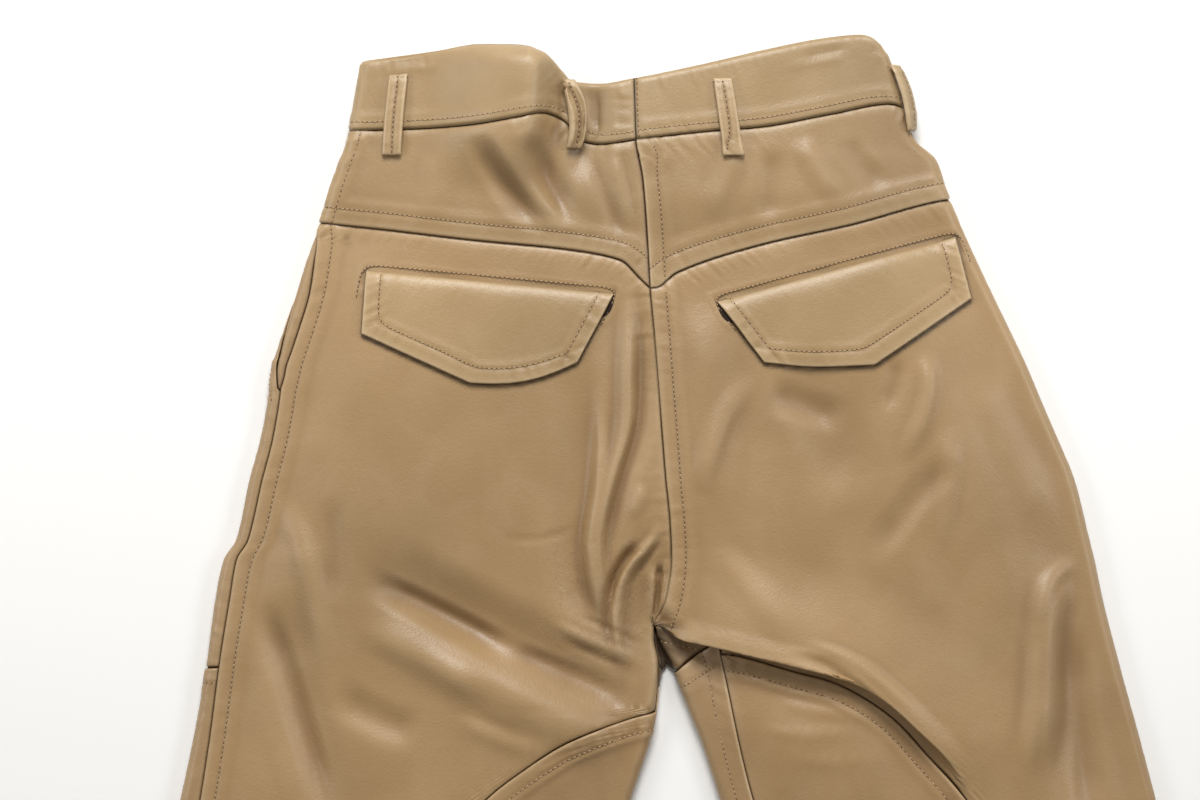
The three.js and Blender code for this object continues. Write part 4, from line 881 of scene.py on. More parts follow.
    def across(self, start: Array, end: Array, count: int, y_of: Callable | None,
               y_at: Callable | None = None) -> Array:
        """Lay a seam across the garment.

        Args:
            start: its first place.
            end: its last place.
            count: how many steps it has.
            y_of: y as a function of x and of being on the back, if it follows one.
            y_at: y as a function of the way along, if it follows one.

        Returns:
            Its places.
        """
        t = np.arange(count + 1) / count
        ends = [float(self.leather.stretch(self.side, spot[0], spot[1])) for spot in (start, end)]
        y = mix(start[1], end[1], t) if y_at is None else y_at(t)
        arc = self.leather.unstretch(self.side, mix(ends[0], ends[1], t), y)
        if y_of is not None:
            for _ in range(4):
                y = y_of(self.leather.x_at(self.side, arc, y), arc > 0)
                arc = self.leather.unstretch(self.side, mix(ends[0], ends[1], t), y)
        row = np.column_stack([arc, y])
        row[0], row[-1] = start, end
        return row


# ---------------- panels
class Edging(Enum):
    """How a panel's edge is finished."""

    LAP = "turned under and laid over its neighbour"
    UNDER = "tucked below its neighbour"
    FREE = "a free rounded edge"


LAP, UNDER, FREE = Edging


@dataclass
class Edge:
    """A stretch of a panel's rim, with its finish and the sewing beside it."""

    row: Array
    edging: Edging
    stitches: tuple[float, ...] = ()
    rise: float = 1.05
    pucker: float = 0.22

    def __post_init__(self) -> None:
        """Thin the row out, for quick distances."""
        keep = max(1, len(self.row) // 110)
        self.line = np.vstack([self.row[:-1:keep], self.row[-1:]])


@dataclass
class Patch:
    """A four-sided stretch of a panel between seams, and how far its sides are tucked under."""

    top: Array
    bottom: Array
    start: Array
    end: Array
    tuck_top: float = 0.0
    tuck_bottom: float = 0.0
    tuck_start: float | Array = 0.0
    tuck_end: float | Array = 0.0
    columns: int = 90
    start_zone: bool = True
    end_zone: bool = True
    top_zone: bool = True
    bottom_zone: bool = True


RIM_STATIONS = np.array([0, 0.35, 0.9, 1.7, 2.8, 4.4, 6.2, 7.6, 8.6, 9.4, 10.4, 12.6])
RIM_ZONE = float(RIM_STATIONS[-1])
TUCK = 3.0
FOLD_SHARE, Y_SHARE = 2.6, 0.25          # how much a folded edge and a step down count in a row's length
CALM_ROWS, EASED_ROWS = 19, 10           # rows that a column's place is evened over, and eased in over
LEAST_STEP = 0.1
LAP_ROUND, LAP_SHARE = 1.4, 0.45         # width of a turned edge's rounding, and its wall's share there
UNDER_DROP, UNDER_FADE = 1.3, 1.2
# where a turned or free edge is palest, from wear and a painted highlight
PALE_EDGE_AT = 0.7
PLAIN_SEAM, PLAIN_LAP = 9.0, 6.0         # seam and lap widths of an edge without stitches
GROOVE_DEPTH, GROOVE_WIDTH = 0.42, 1.5   # groove that a row of stitches pulls in


@dataclass
class Panel:
    """A piece of leather: its patches, its edges, and how it stands over the garment's surface."""

    node: str
    side: Side
    patches: list[Patch]
    edges: list[Edge]
    finish: str = "seat"
    thickness: float = LEATHER
    lift: Callable[[Array], Array] | float = 0.0
    relief: Callable[[Array], Array] | None = None
    seed: int = 1
    strap_width: float = 0.0
    # painted shade of the panel's own, such as a flap's shadow, from 0 to 1, painted into its colour
    pit: Callable[[Array], Array] | None = None
    ripples: Ripple = field(init=False)
    cut: tuple[float, float, float] = field(init=False, default=(0.0, 0.0, 0.0))

    def __post_init__(self) -> None:
        """Draw this panel's own puckers."""
        self.ripples = Ripple(self.seed, (5.2, 6.9, 8.8, 11.6, 15.0))

    @property
    def name(self) -> str:
        """Name of the finished piece."""
        return f"{self.node}_leather"

    def grid(self, leather: LaidLeather, patch: Patch) -> tuple[Array, Array]:
        """Lay a fine net over a patch.

        Args:
            leather: the surface that it follows.
            patch: the stretch to cover.

        Returns:
            Rows and columns of places, and how far outside the rim each lies.
        """
        side = self.side

        def flat(row: Array) -> Array:
            """A row of places, by stretched arc."""
            return np.column_stack([leather.stretch(side, row[:, 0], row[:, 1]), row[:, 1]])

        top, bottom, start, end = (flat(row) for row in (patch.top, patch.bottom, patch.start, patch.end))
        u = np.linspace(0, 1, len(top))[None, :, None]
        v = np.linspace(0, 1, len(start))[:, None, None]
        start_bend = start[:, None] - mix(top[0], bottom[0], v)
        end_bend = end[:, None] - mix(top[-1], bottom[-1], v)
        value = mix(top[None], bottom[None], v) + mix(start_bend, end_bend, u)
        arc, y = value[..., 0], value[..., 1]
        last = np.where(y > CROTCH_Y, leather.arc_at(side, leather.seat(y), y) - CROTCH_RADIUS, math.inf)
        places = np.stack([np.minimum(leather.unstretch(side, arc, y), last), y], axis=-1)
        places[0], places[-1], places[:, 0], places[:, -1] = patch.top, patch.bottom, patch.start, patch.end
        places = self._resample_rows(leather, patch, places)
        places = self._resample_columns(patch, places)
        outside = np.zeros(places.shape[:2])
        places, outside = self._tuck(places, outside, patch.tuck_start, patch.tuck_end)
        turned = places.transpose(1, 0, 2)
        turned, outside = self._tuck(turned, outside.T, patch.tuck_top, patch.tuck_bottom)
        return turned.transpose(1, 0, 2), outside.T

    def _resample_rows(self, leather: LaidLeather, patch: Patch, places: Array) -> Array:
        """Set a patch's columns close together beside both rims and over the folds, and even between.

        Args:
            leather: the surface that it follows.
            patch: the stretch that the places cover.
            places: rows and columns of places.

        Returns:
            As many rows, with the patch's own number of columns.
        """
        result = np.empty((len(places), patch.columns, 2))
        runs, rows = [], np.empty((len(places), patch.columns))
        for j, row in enumerate(places):
            stretched = leather.stretch(self.side, row[:, 0], row[:, 1], FOLD_SHARE)
            run = lengths(np.column_stack([stretched, Y_SHARE * row[:, 1]]))
            total = run[-1]
            share = min(1.0, total * 0.3 / RIM_ZONE)
            head = RIM_STATIONS * share if patch.start_zone else np.zeros(1)
            tail = total - RIM_STATIONS[::-1] * share if patch.end_zone else np.array([total])
            middle = np.linspace(head[-1], tail[0], patch.columns - len(head) - len(tail) + 2)[1:-1]
            rows[j] = np.concatenate([head, middle, tail])
            runs.append(run)
        first, last = len(head), patch.columns - len(tail)
        ease = smooth(np.minimum(np.arange(len(rows)), np.arange(len(rows))[::-1]) / EASED_ROWS)[:, None]
        padded = np.pad(rows[:, first:last], ((CALM_ROWS // 2, CALM_ROWS // 2), (0, 0)), mode="edge")
        calm = sum(padded[k:k + len(rows)] for k in range(CALM_ROWS)) / CALM_ROWS
        limit = rows[:, last:last + 1] - LEAST_STEP * np.arange(last - first, 0, -1)
        low = rows[:, first - 1:first] + LEAST_STEP * np.arange(1, last - first + 1)
        kept = np.maximum(np.minimum(calm, limit), np.minimum(low, limit))
        rows[:, first:last] = mix(rows[:, first:last], kept, ease)
        for j, (row, run) in enumerate(zip(places, runs)):
            for axis in (0, 1):
                spread = np.interp(rows[j], run, row[:, axis]) if run[-1] > 1e-6 else row[0, axis]
                result[j, :, axis] = spread
        return result

    @staticmethod
    def _resample_columns(patch: Patch, places: Array) -> Array:
        """Set a patch's rows close together below the top rim and above the bottom one.

        Args:
            patch: the stretch that the places cover.
            places: rows and columns of places.

        Returns:
            More or fewer rows, with the same columns.
        """
        count = len(places) - 1
        middle = places[:, places.shape[1] // 2]
        run = lengths(middle)
        positions = set(range(count + 1))
        for wanted, near in ((patch.top_zone, lambda d: d), (patch.bottom_zone, lambda d: run[-1] - d)):
            if not wanted or run[-1] < 4 * RIM_ZONE:
                continue
            inner = [float(np.interp(near(d), run, np.arange(count + 1))) for d in RIM_STATIONS[:-1]]
            low, high = min(inner), max(inner)
            positions = {p for p in positions if p in (0, count) or not low < p < high} | set(inner)
        at = np.array(sorted(positions))
        low = np.minimum(np.floor(at).astype(int), count - 1)
        part = (at - low)[:, None, None]
        return places[low] * (1 - part) + places[low + 1] * part

    @staticmethod
    def _tuck(places: Array, outside: Array, at_start: Values,
              at_end: Values) -> tuple[Array, Array]:
        """Add a column past the start or end rim, under the neighbouring piece.

        Args:
            places: rows and columns of places.
            outside: how far past the rim each lies.
            at_start: how far the leather goes on past the start, the same all along or by row.
            at_end: how far it goes on past the end.

        Returns:
            The places and how far past the rim each lies, with the new columns.
        """
        def spread(amount: Values) -> Array:
            """The amount at every row."""
            values = np.atleast_1d(np.asarray(amount, float))
            return np.interp(np.linspace(0, 1, len(places)), np.linspace(0, 1, len(values)), values)

        for first, second, amount, is_end in ((0, 1, at_start, False), (-1, -2, at_end, True)):
            reach = spread(amount)
            if not np.any(reach > 0):
                continue
            way = places[:, first] - places[:, second]
            way /= np.maximum(np.linalg.norm(way, axis=1), 1e-9)[:, None]
            column = (places[:, first] + way * reach[:, None])[:, None]
            depth = (outside[:, first] + reach)[:, None]
            parts = ((places, column), (outside, depth)) if is_end else ((column, places), (depth, outside))
            places = np.concatenate(parts[0], axis=1)
            outside = np.concatenate(parts[1], axis=1)
        return places, outside

    def offsets(self, places: Array, outside: Array) -> tuple[Array, Array, Array]:
        """Finish of the edges at places.

        Args:
            places: where, as rows of arc and y.
            outside: how far each lies past the rim, under a neighbour.

        Returns:
            The height over the leather's surface, the share of the wall's thickness, and the edge mark:
            positive for pale rubbed edges with a painted highlight, negative for painted shade beside a
            tucked edge.
        """
        count = len(places)
        raised, rounded, sewn = np.zeros(count), np.zeros(count), np.zeros(count)
        ripple, share, wear = np.zeros(count), np.ones(count), np.zeros(count)
        for number, edge in enumerate(self.edges):
            d, s = nearest(edge.line, places)
            s = s + 1000 * number
            seam = edge.stitches[0] if edge.stitches else PLAIN_SEAM
            if edge.edging is LAP:
                width = (max(edge.stitches) if edge.stitches else PLAIN_LAP) + 2.5
                raised = np.maximum(raised, edge.rise * (1 - smooth((d - width) / 5)))
                turned = np.minimum(d / LAP_ROUND, 1)
                fall = 1 - np.sqrt(1 - (1 - turned) ** 2)
                rounded = np.minimum(rounded, -(edge.rise + LAP_LIFT) * fall)
                share = np.minimum(share, LAP_SHARE + (1 - LAP_SHARE) * turned)
                # pale turned edge: rubbed wear and a painted highlight
                wear = np.maximum(wear, np.exp(-((d - PALE_EDGE_AT) / 0.9) ** 2))
            elif edge.edging is UNDER:
                rounded = np.minimum(rounded, -UNDER_DROP * np.exp(-d / UNDER_DROP) * (outside == 0))
                # painted shade beside an edge tucked under its neighbour
                wear = np.minimum(wear, -np.exp(-d / UNDER_FADE))
            else:
                radius = self.thickness / 2
                arch = np.maximum(np.sqrt(1 - (1 - np.minimum(d / radius, 1)) ** 2), 0.15)
                rounded = np.minimum(rounded, -(1 - arch) * self.thickness / 2)
                raised = np.maximum(raised, edge.rise * (1 - smooth((d - seam - 1.5) / 4)))
                share = np.minimum(share, arch)
                # pale free edge: rubbed wear and a painted highlight
                wear = np.maximum(wear, np.exp(-(d - PALE_EDGE_AT) ** 2))
            for stitch in edge.stitches:
                sewn = np.minimum(sewn, -GROOVE_DEPTH * np.exp(-((d - stitch) / GROOVE_WIDTH) ** 2))
            if edge.pucker:
                swell = 0.65 + 0.45 * np.sin(s / 23.0 + number)
                across = np.exp(-((d - 0.62 * seam) / (0.62 * seam)) ** 2) + 0.35 * np.exp(-d / 14)
                ripple += edge.pucker * swell * across * self.ripples.line(s + 0.25 * d)
        height = raised + rounded + sewn + ripple * (outside == 0)
        height = np.where(outside > 0, -UNDER_DROP - 0.3 * outside, height)
        return height, share, wear

    def stand(self, places: Array) -> Array:
        """Height of the panel's surface over the leather's, from its lift and its own relief."""
        height = self.lift(places) if callable(self.lift) else np.full(len(places), float(self.lift))
        return height + self.relief(places) if self.relief else height

    def surface(self, leather: LaidLeather, places: Array) -> tuple[Array, Array]:
        """Find the panel's outer face.

        Args:
            leather: the surface that it follows.
            places: rows of arc and y, inside the rim.

        Returns:
            The points there, and the normals.
        """
        point, normal = leather.place_with_normal(self.side, places)
        height, _, _ = self.offsets(places, np.zeros(len(places)))
        face = point + normal * (height + self.stand(places))[:, None]
        face[:, 2] = np.maximum(face[:, 2], LOWEST)
        return face, normal

    def build(self, leather: LaidLeather) -> bpy.types.Object:
        """Make the panel's closed wall."""
        spots, depths, faces, start = [], [], [], 0
        for patch in self.patches:
            places, outside = self.grid(leather, patch)
            rows, columns = places.shape[:2]
            index = start + np.arange(rows * columns).reshape(rows, columns)
            a, b, c, d = index[1:, :-1], index[1:, 1:], index[:-1, 1:], index[:-1, :-1]
            faces.append(np.stack([a, b, c, d], axis=-1).reshape(-1, 4))
            spots.append(places.reshape(-1, 2))
            depths.append(outside.reshape(-1))
            start += rows * columns
        places, quads = np.vstack(spots), np.vstack(faces)
        outside = np.concatenate(depths)
        _, first, merged = np.unique(np.round(places, 4), axis=0, return_index=True, return_inverse=True)
        merged = merged.reshape(-1)
        places, outside, quads = places[first], outside[first], merged[quads]
        self.cut = self._cut(places, quads)
        if self.strap_width:
            self.cut = self.strap_width * MM, self.cut[1], self.strap_width * MM * self.cut[1]

        point, normal = leather.place_with_normal(self.side, places)
        height, share, wear = self.offsets(places, outside)
        outer = point + normal * (height + self.stand(places))[:, None]
        outer[:, 2] = np.maximum(outer[:, 2], LOWEST)
        triangles = split(outer, quads)
        if np.einsum("ij,ij->", face_normals(outer, triangles), normal[triangles[:, 0]]) < 0:
            triangles = triangles[:, ::-1]
        true_normal = vertex_normals(outer, triangles)
        inner = outer - true_normal * (self.thickness * share)[:, None]
        # Painted shade: in the slit below the crotch, under a flap's edge and along each tucked seam; the
        # finish darkens the colour by it.
        pit = leather.slit_shade(outer)
        if self.pit:
            pit = np.maximum(pit, self.pit(places))
        # painted shade: a near-black line where each tucked edge runs under its neighbour
        for edge in self.edges:
            if edge.edging is UNDER:
                pit = np.maximum(pit, 0.9 * np.exp(-(nearest(edge.line, places)[0] / 0.8) ** 2))
        # hollow: how hollow each place is, which the finish paints as shade in creases and highlight on
        # ridges
        marks = {"wear": wear, "hollow": hollows(outer, triangles, true_normal), "pit": pit}
        return self._mesh(places, outer, inner, triangles, marks)

    @staticmethod
    def _cut(places: Array, quads: Array) -> tuple[float, float, float]:
        """Width and length of the narrowest box round the flat cut, and its area, in metres."""
        a, b = places[quads[:, 2]] - places[quads[:, 0]], places[quads[:, 3]] - places[quads[:, 1]]
        area = np.abs(a[:, 0] * b[:, 1] - a[:, 1] * b[:, 0]).sum() / 2
        boxes = []
        for turn in np.radians(np.arange(0, 90, 3)):
            way = np.array([[math.cos(turn), -math.sin(turn)], [math.sin(turn), math.cos(turn)]])
            sizes = np.ptp(places @ way, axis=0)
            boxes.append((sizes[0] * sizes[1], min(sizes), max(sizes)))
        _, width, length = min(boxes)
        return float(width * MM), float(length * MM), float(area * MM * MM)

    def _mesh(self, places: Array, outer: Array, inner: Array, faces: Array,
              marks: dict[str, Array]) -> bpy.types.Object:
        """Join both faces of the wall along its rim.

        Args:
            places: rows of arc and y, for the piece's own map.
            outer: points of the outer face.
            inner: points of the inner face, in the same order.
            faces: triangles of the outer face.
            marks: values that the finish reads, by name.

        Returns:
            The finished piece.
        """
        count = len(outer)
        rim = rim_edges(faces, count)
        side_faces = np.vstack([np.column_stack([rim[:, 1], rim[:, 0], rim[:, 0] + count]),
                                np.column_stack([rim[:, 1], rim[:, 0] + count, rim[:, 1] + count])])
        triangles = np.vstack([faces, faces[:, ::-1] + count, side_faces])
        piece = mesh_object(self.name, np.vstack([outer, inner]), triangles)
        uv = np.vstack([places, places]) * MM
        layer = piece.data.uv_layers.new(name="cut")
        layer.data.foreach_set("uv", uv[triangles.reshape(-1)].astype(np.float32).reshape(-1))
        for label, values in marks.items():
            column = piece.data.attributes.new(label, "FLOAT", "POINT")
            column.data.foreach_set("value", np.concatenate([values, np.zeros(count)]).astype(np.float32))
        return piece


# ---------------- meshes
def split(points: Array, quads: Array) -> Array:
    """Cut four-sided faces along their shorter diagonals, and drop the empty ones."""
    a, b, c, d = (quads[:, k] for k in range(4))
    short = np.linalg.norm(points[a] - points[c], axis=1) <= np.linalg.norm(points[b] - points[d], axis=1)
    one = np.where(short[:, None], np.column_stack([a, b, c]), np.column_stack([a, b, d]))
    two = np.where(short[:, None], np.column_stack([a, c, d]), np.column_stack([b, c, d]))
    faces = np.vstack([one, two])
    full = (faces[:, 0] != faces[:, 1]) & (faces[:, 1] != faces[:, 2]) & (faces[:, 2] != faces[:, 0])
    return faces[full]


def face_normals(points: Array, faces: Array) -> Array:
    """Normals of faces, as long as twice their areas."""
    a, b, c = (points[faces[:, k]] for k in range(3))
    return np.cross(b - a, c - a)


def vertex_normals(points: Array, faces: Array) -> Array:
    """Unit normals at points, weighted by the areas of their faces."""
    normals = np.zeros_like(points)
    flat = face_normals(points, faces)
    for k in range(3):
        np.add.at(normals, faces[:, k], flat)
    return normals / np.maximum(np.linalg.norm(normals, axis=1), 1e-12)[:, None]


def rim_edges(faces: Array, count: int) -> Array:
    """Edges that only one face uses, each from its start to its end."""
    edges = np.vstack([faces[:, [0, 1]], faces[:, [1, 2]], faces[:, [2, 0]]])
    keys = edges[:, 0].astype(np.int64) * count + edges[:, 1]
    back = edges[:, 1].astype(np.int64) * count + edges[:, 0]
    return edges[~np.isin(keys, back)]


def hollows(points: Array, faces: Array, normals: Array) -> Array:
    """How hollow the surface is at each point: positive in creases, negative on ridges."""
    edges = np.vstack([faces[:, [0, 1]], faces[:, [1, 2]], faces[:, [2, 0]]])
    edges = np.vstack([edges, edges[:, ::-1]])
    step = points[edges[:, 1]] - points[edges[:, 0]]
    size = np.maximum(np.einsum("ij,ij->i", step, step), 0.04)
    bend = np.einsum("ij,ij->i", step, normals[edges[:, 0]]) / size
    number = np.bincount(edges[:, 0], minlength=len(points))
    value = np.bincount(edges[:, 0], weights=bend, minlength=len(points)) / np.maximum(number, 1)
    for _ in range(6):
        spread = np.bincount(edges[:, 0], weights=value[edges[:, 1]], minlength=len(points))
        value = 0.5 * value + 0.5 * spread / np.maximum(number, 1)
    return np.clip(value / 0.035, -1, 1)


def mesh_object(name: str, points: Array, faces: Array, smooth_shaded: bool = True) -> bpy.types.Object:
    """Make an object from points in the plan, in millimetres, and faces."""
    mesh = bpy.data.meshes.new(name)
    placed = (points + ORIGIN) * MM
    mesh.from_pydata(placed.tolist(), [], faces.tolist())
    mesh.polygons.foreach_set("use_smooth", np.full(len(faces), smooth_shaded))
    mesh.update()
    piece = bpy.data.objects.new(name, mesh)
    bpy.context.collection.objects.link(piece)
    return piece


# ---------------- halves' panels
HEM_STITCH = 20.0
RIGHT_SEED = 40  # added to a right panel's draw number


class Half:
    """Waistband, yoke, back, inner leg, facing, front and front leg of one side."""

    def __init__(self, leather: LaidLeather, name: str) -> None:
        """Work out this side's seams."""
        self.side = leather.sides[name]
        self.leather = leather
        self.seams = Seams(leather, self.side)
        self.is_right = name == "right"

    def middle(self, row: Array, stitch: float = 8.4) -> Edge:
        """Edge at a middle seam, where the right half laps over the left."""
        if self.is_right:
            return Edge(row, LAP, (stitch,))
        return Edge(row, UNDER)

    @property
    def middle_tuck(self) -> float:
        """How far this half's middle edges are tucked under the other half."""
        return 0.0 if self.is_right else TUCK

    def panel(self, part: str, patches: list[Patch], edges: list[Edge], seed: int, **options) -> Panel:
        """A panel that stands for the node of its name."""
        seed += RIGHT_SEED if self.is_right else 0
        return Panel(f"{part}_{self.side.name}", self.side, patches, edges, seed=seed, **options)

    @staticmethod
    def hem(row: Array) -> Edge:
        """Edge at the foot of a leg."""
        return Edge(row, FREE, (HEM_STITCH,), rise=0.3, pucker=0.12)

    def waistband(self) -> Panel:
        """Half of the waistband, from the back seam round the side to the fly."""
        s = self.seams
        patch = Patch(s.band_edge, s.band_bottom, s.seat_band, s.front_band, columns=250)
        edges = [
            Edge(s.band_edge, FREE, rise=0.0, pucker=0.2),
            Edge(s.band_bottom, LAP, (4.8,), rise=0.6, pucker=0.16),
            Edge(s.seat_band, UNDER, (1.5,) if self.is_right else (), pucker=0.2),
            Edge(s.front_band, FREE, (4.6,), rise=0.4),
        ]
        return self.panel("waistband", [patch], edges, 1, thickness=BAND_THICKNESS, lift=BAND_LIFT,
                          finish="band")

    def yoke(self) -> Panel:
        """Half of the back yoke."""
        s = self.seams
        patch = Patch(s.band[::-1], s.yoke_line, s.side_yoke, s.seat_yoke, tuck_top=TUCK,
                      tuck_end=self.middle_tuck, columns=118)
        edges = [
            Edge(s.band, UNDER),
            Edge(s.yoke_line, LAP, (9.4,), pucker=0.16),
            Edge(s.side_yoke, LAP, (9.0,)),
            self.middle(s.seat_yoke),
        ]
        return self.panel("yoke", [patch], edges, 2, lift=LAP_LIFT, finish="yoke")

    def back(self, slit: Flap) -> Panel:
        """Back panel, meshed as a seat and a leg."""
        s, n = self.seams, len(self.seams.side_leg) // STEPS["leg"]
        seat_end = joined(s.seat_down, s.crotch_back, s.under_back)
        tuck = np.where(np.arange(len(seat_end)) < len(s.seat_down) - 1, self.middle_tuck, TUCK)
        seat = Patch(s.yoke_line, s.seat_foot,
                     joined(s.side_pocket, s.side_hip, s.side_thigh, s.side_leg[:n + 1]), seat_end,
                     tuck_top=TUCK, tuck_end=tuck, columns=160, bottom_zone=False)
        leg = Patch(s.seat_foot, s.hem_outer, s.side_leg[n:], s.inner_leg, tuck_end=TUCK, columns=160,
                    top_zone=False)
        edges = [
            Edge(s.yoke_line, UNDER, pucker=0.13),
            Edge(joined(s.side_pocket, s.side_hip, s.side_thigh, s.side_leg), LAP, (9.0,)),
            self.middle(s.seat_down),
            Edge(joined(s.crotch_back, s.under_back), UNDER, pucker=0.08),
            Edge(s.inner_leg, UNDER, pucker=0.3),
            self.hem(s.hem_outer),
        ]
        return self.panel("back", [seat, leg], edges, 3, relief=slit.welt(self.leather),
                          pit=slit.shade(self.leather), finish="seat")

    def inner_leg(self) -> Panel:
        """Inner back leg piece, below the curved seam."""
        s = self.seams
        top = np.repeat(s.inner_leg[:1], len(s.hem_inner), axis=0)
        patch = Patch(top, s.hem_inner, s.inner_leg, s.inseam_back, tuck_end=TUCK, columns=72,
                      top_zone=False)
        edges = [
            Edge(s.inner_leg, LAP, (9.6,), rise=0.9, pucker=0.42),
            Edge(s.inseam_back, UNDER, pucker=0.08),
            self.hem(s.hem_inner),
        ]
        return self.panel("back_inner_leg", [patch], edges, 4, lift=LAP_LIFT, finish="patch")

    def facing(self) -> Panel:
        """Facing that closes the slanted side pocket."""
        s = self.seams
        bottom = np.repeat(s.slant[-1:], len(s.band_facing), axis=0)
        patch = Patch(s.band_facing, bottom, joined(s.side_yoke, s.side_pocket), s.slant, tuck_top=TUCK,
                      tuck_start=TUCK, tuck_end=TUCK, columns=34, bottom_zone=False)
        edges = [Edge(s.band_facing, UNDER), Edge(joined(s.side_yoke, s.side_pocket), UNDER),
                 Edge(s.slant, UNDER, pucker=0.1)]
        return self.panel("pocket_facing", [patch], edges, 5, finish="front")

    def front(self) -> Panel:
        """Front panel, from the waistband to the seam across the thigh."""
        s = self.seams
        side_row = joined(s.side_hip, s.side_thigh)
        side_tuck = np.where(np.arange(len(s.slant) + len(side_row) - 1) < len(s.slant), 0.0, TUCK)
        main = Patch(s.band_front, s.thigh_across, joined(s.slant, side_row),
                     joined(s.front_down, s.wrap_foot), tuck_start=side_tuck, columns=56,
                     top_zone=False, bottom_zone=False, end_zone=False)
        wrap = Patch(s.crotch_wall, s.thigh_wrap, s.wrap_foot, s.crotch_front, columns=32,
                     top_zone=False, bottom_zone=False, start_zone=False)
        edges = [
            Edge(s.band_front, UNDER),
            Edge(s.slant, FREE, (7.0,), rise=0.4),
            Edge(side_row, UNDER),
            self.middle(s.front_down, 6.0),
            Edge(s.crotch_front, LAP, (9.6,), rise=0.5),
            Edge(joined(s.thigh_across, s.thigh_wrap), UNDER),
        ]
        return self.panel("front", [main, wrap], edges, 6, finish="front")

    def front_leg(self) -> Panel:
        """Front leg panel, from the thigh seam to the hem."""
        s = self.seams
        patch = Patch(joined(s.thigh_across, s.thigh_wrap), s.hem_front, s.side_leg,
                      joined(s.under_front, s.inseam_front), tuck_start=TUCK, columns=92)
        edges = [
            Edge(joined(s.thigh_across, s.thigh_wrap), LAP, (9.0,), rise=0.6, pucker=0.12),
            Edge(s.side_leg, UNDER),
            Edge(joined(s.under_front, s.inseam_front), LAP, (9.8,), rise=0.7),
            self.hem(s.hem_front),
        ]
        return self.panel("front_leg", [patch], edges, 7, finish="front")

    def panels(self, slit: Flap) -> list[Panel]:
        """All of this half's leather."""
        return [self.waistband(), self.yoke(), self.back(slit), self.inner_leg(), self.facing(),
                self.front(), self.front_leg()]


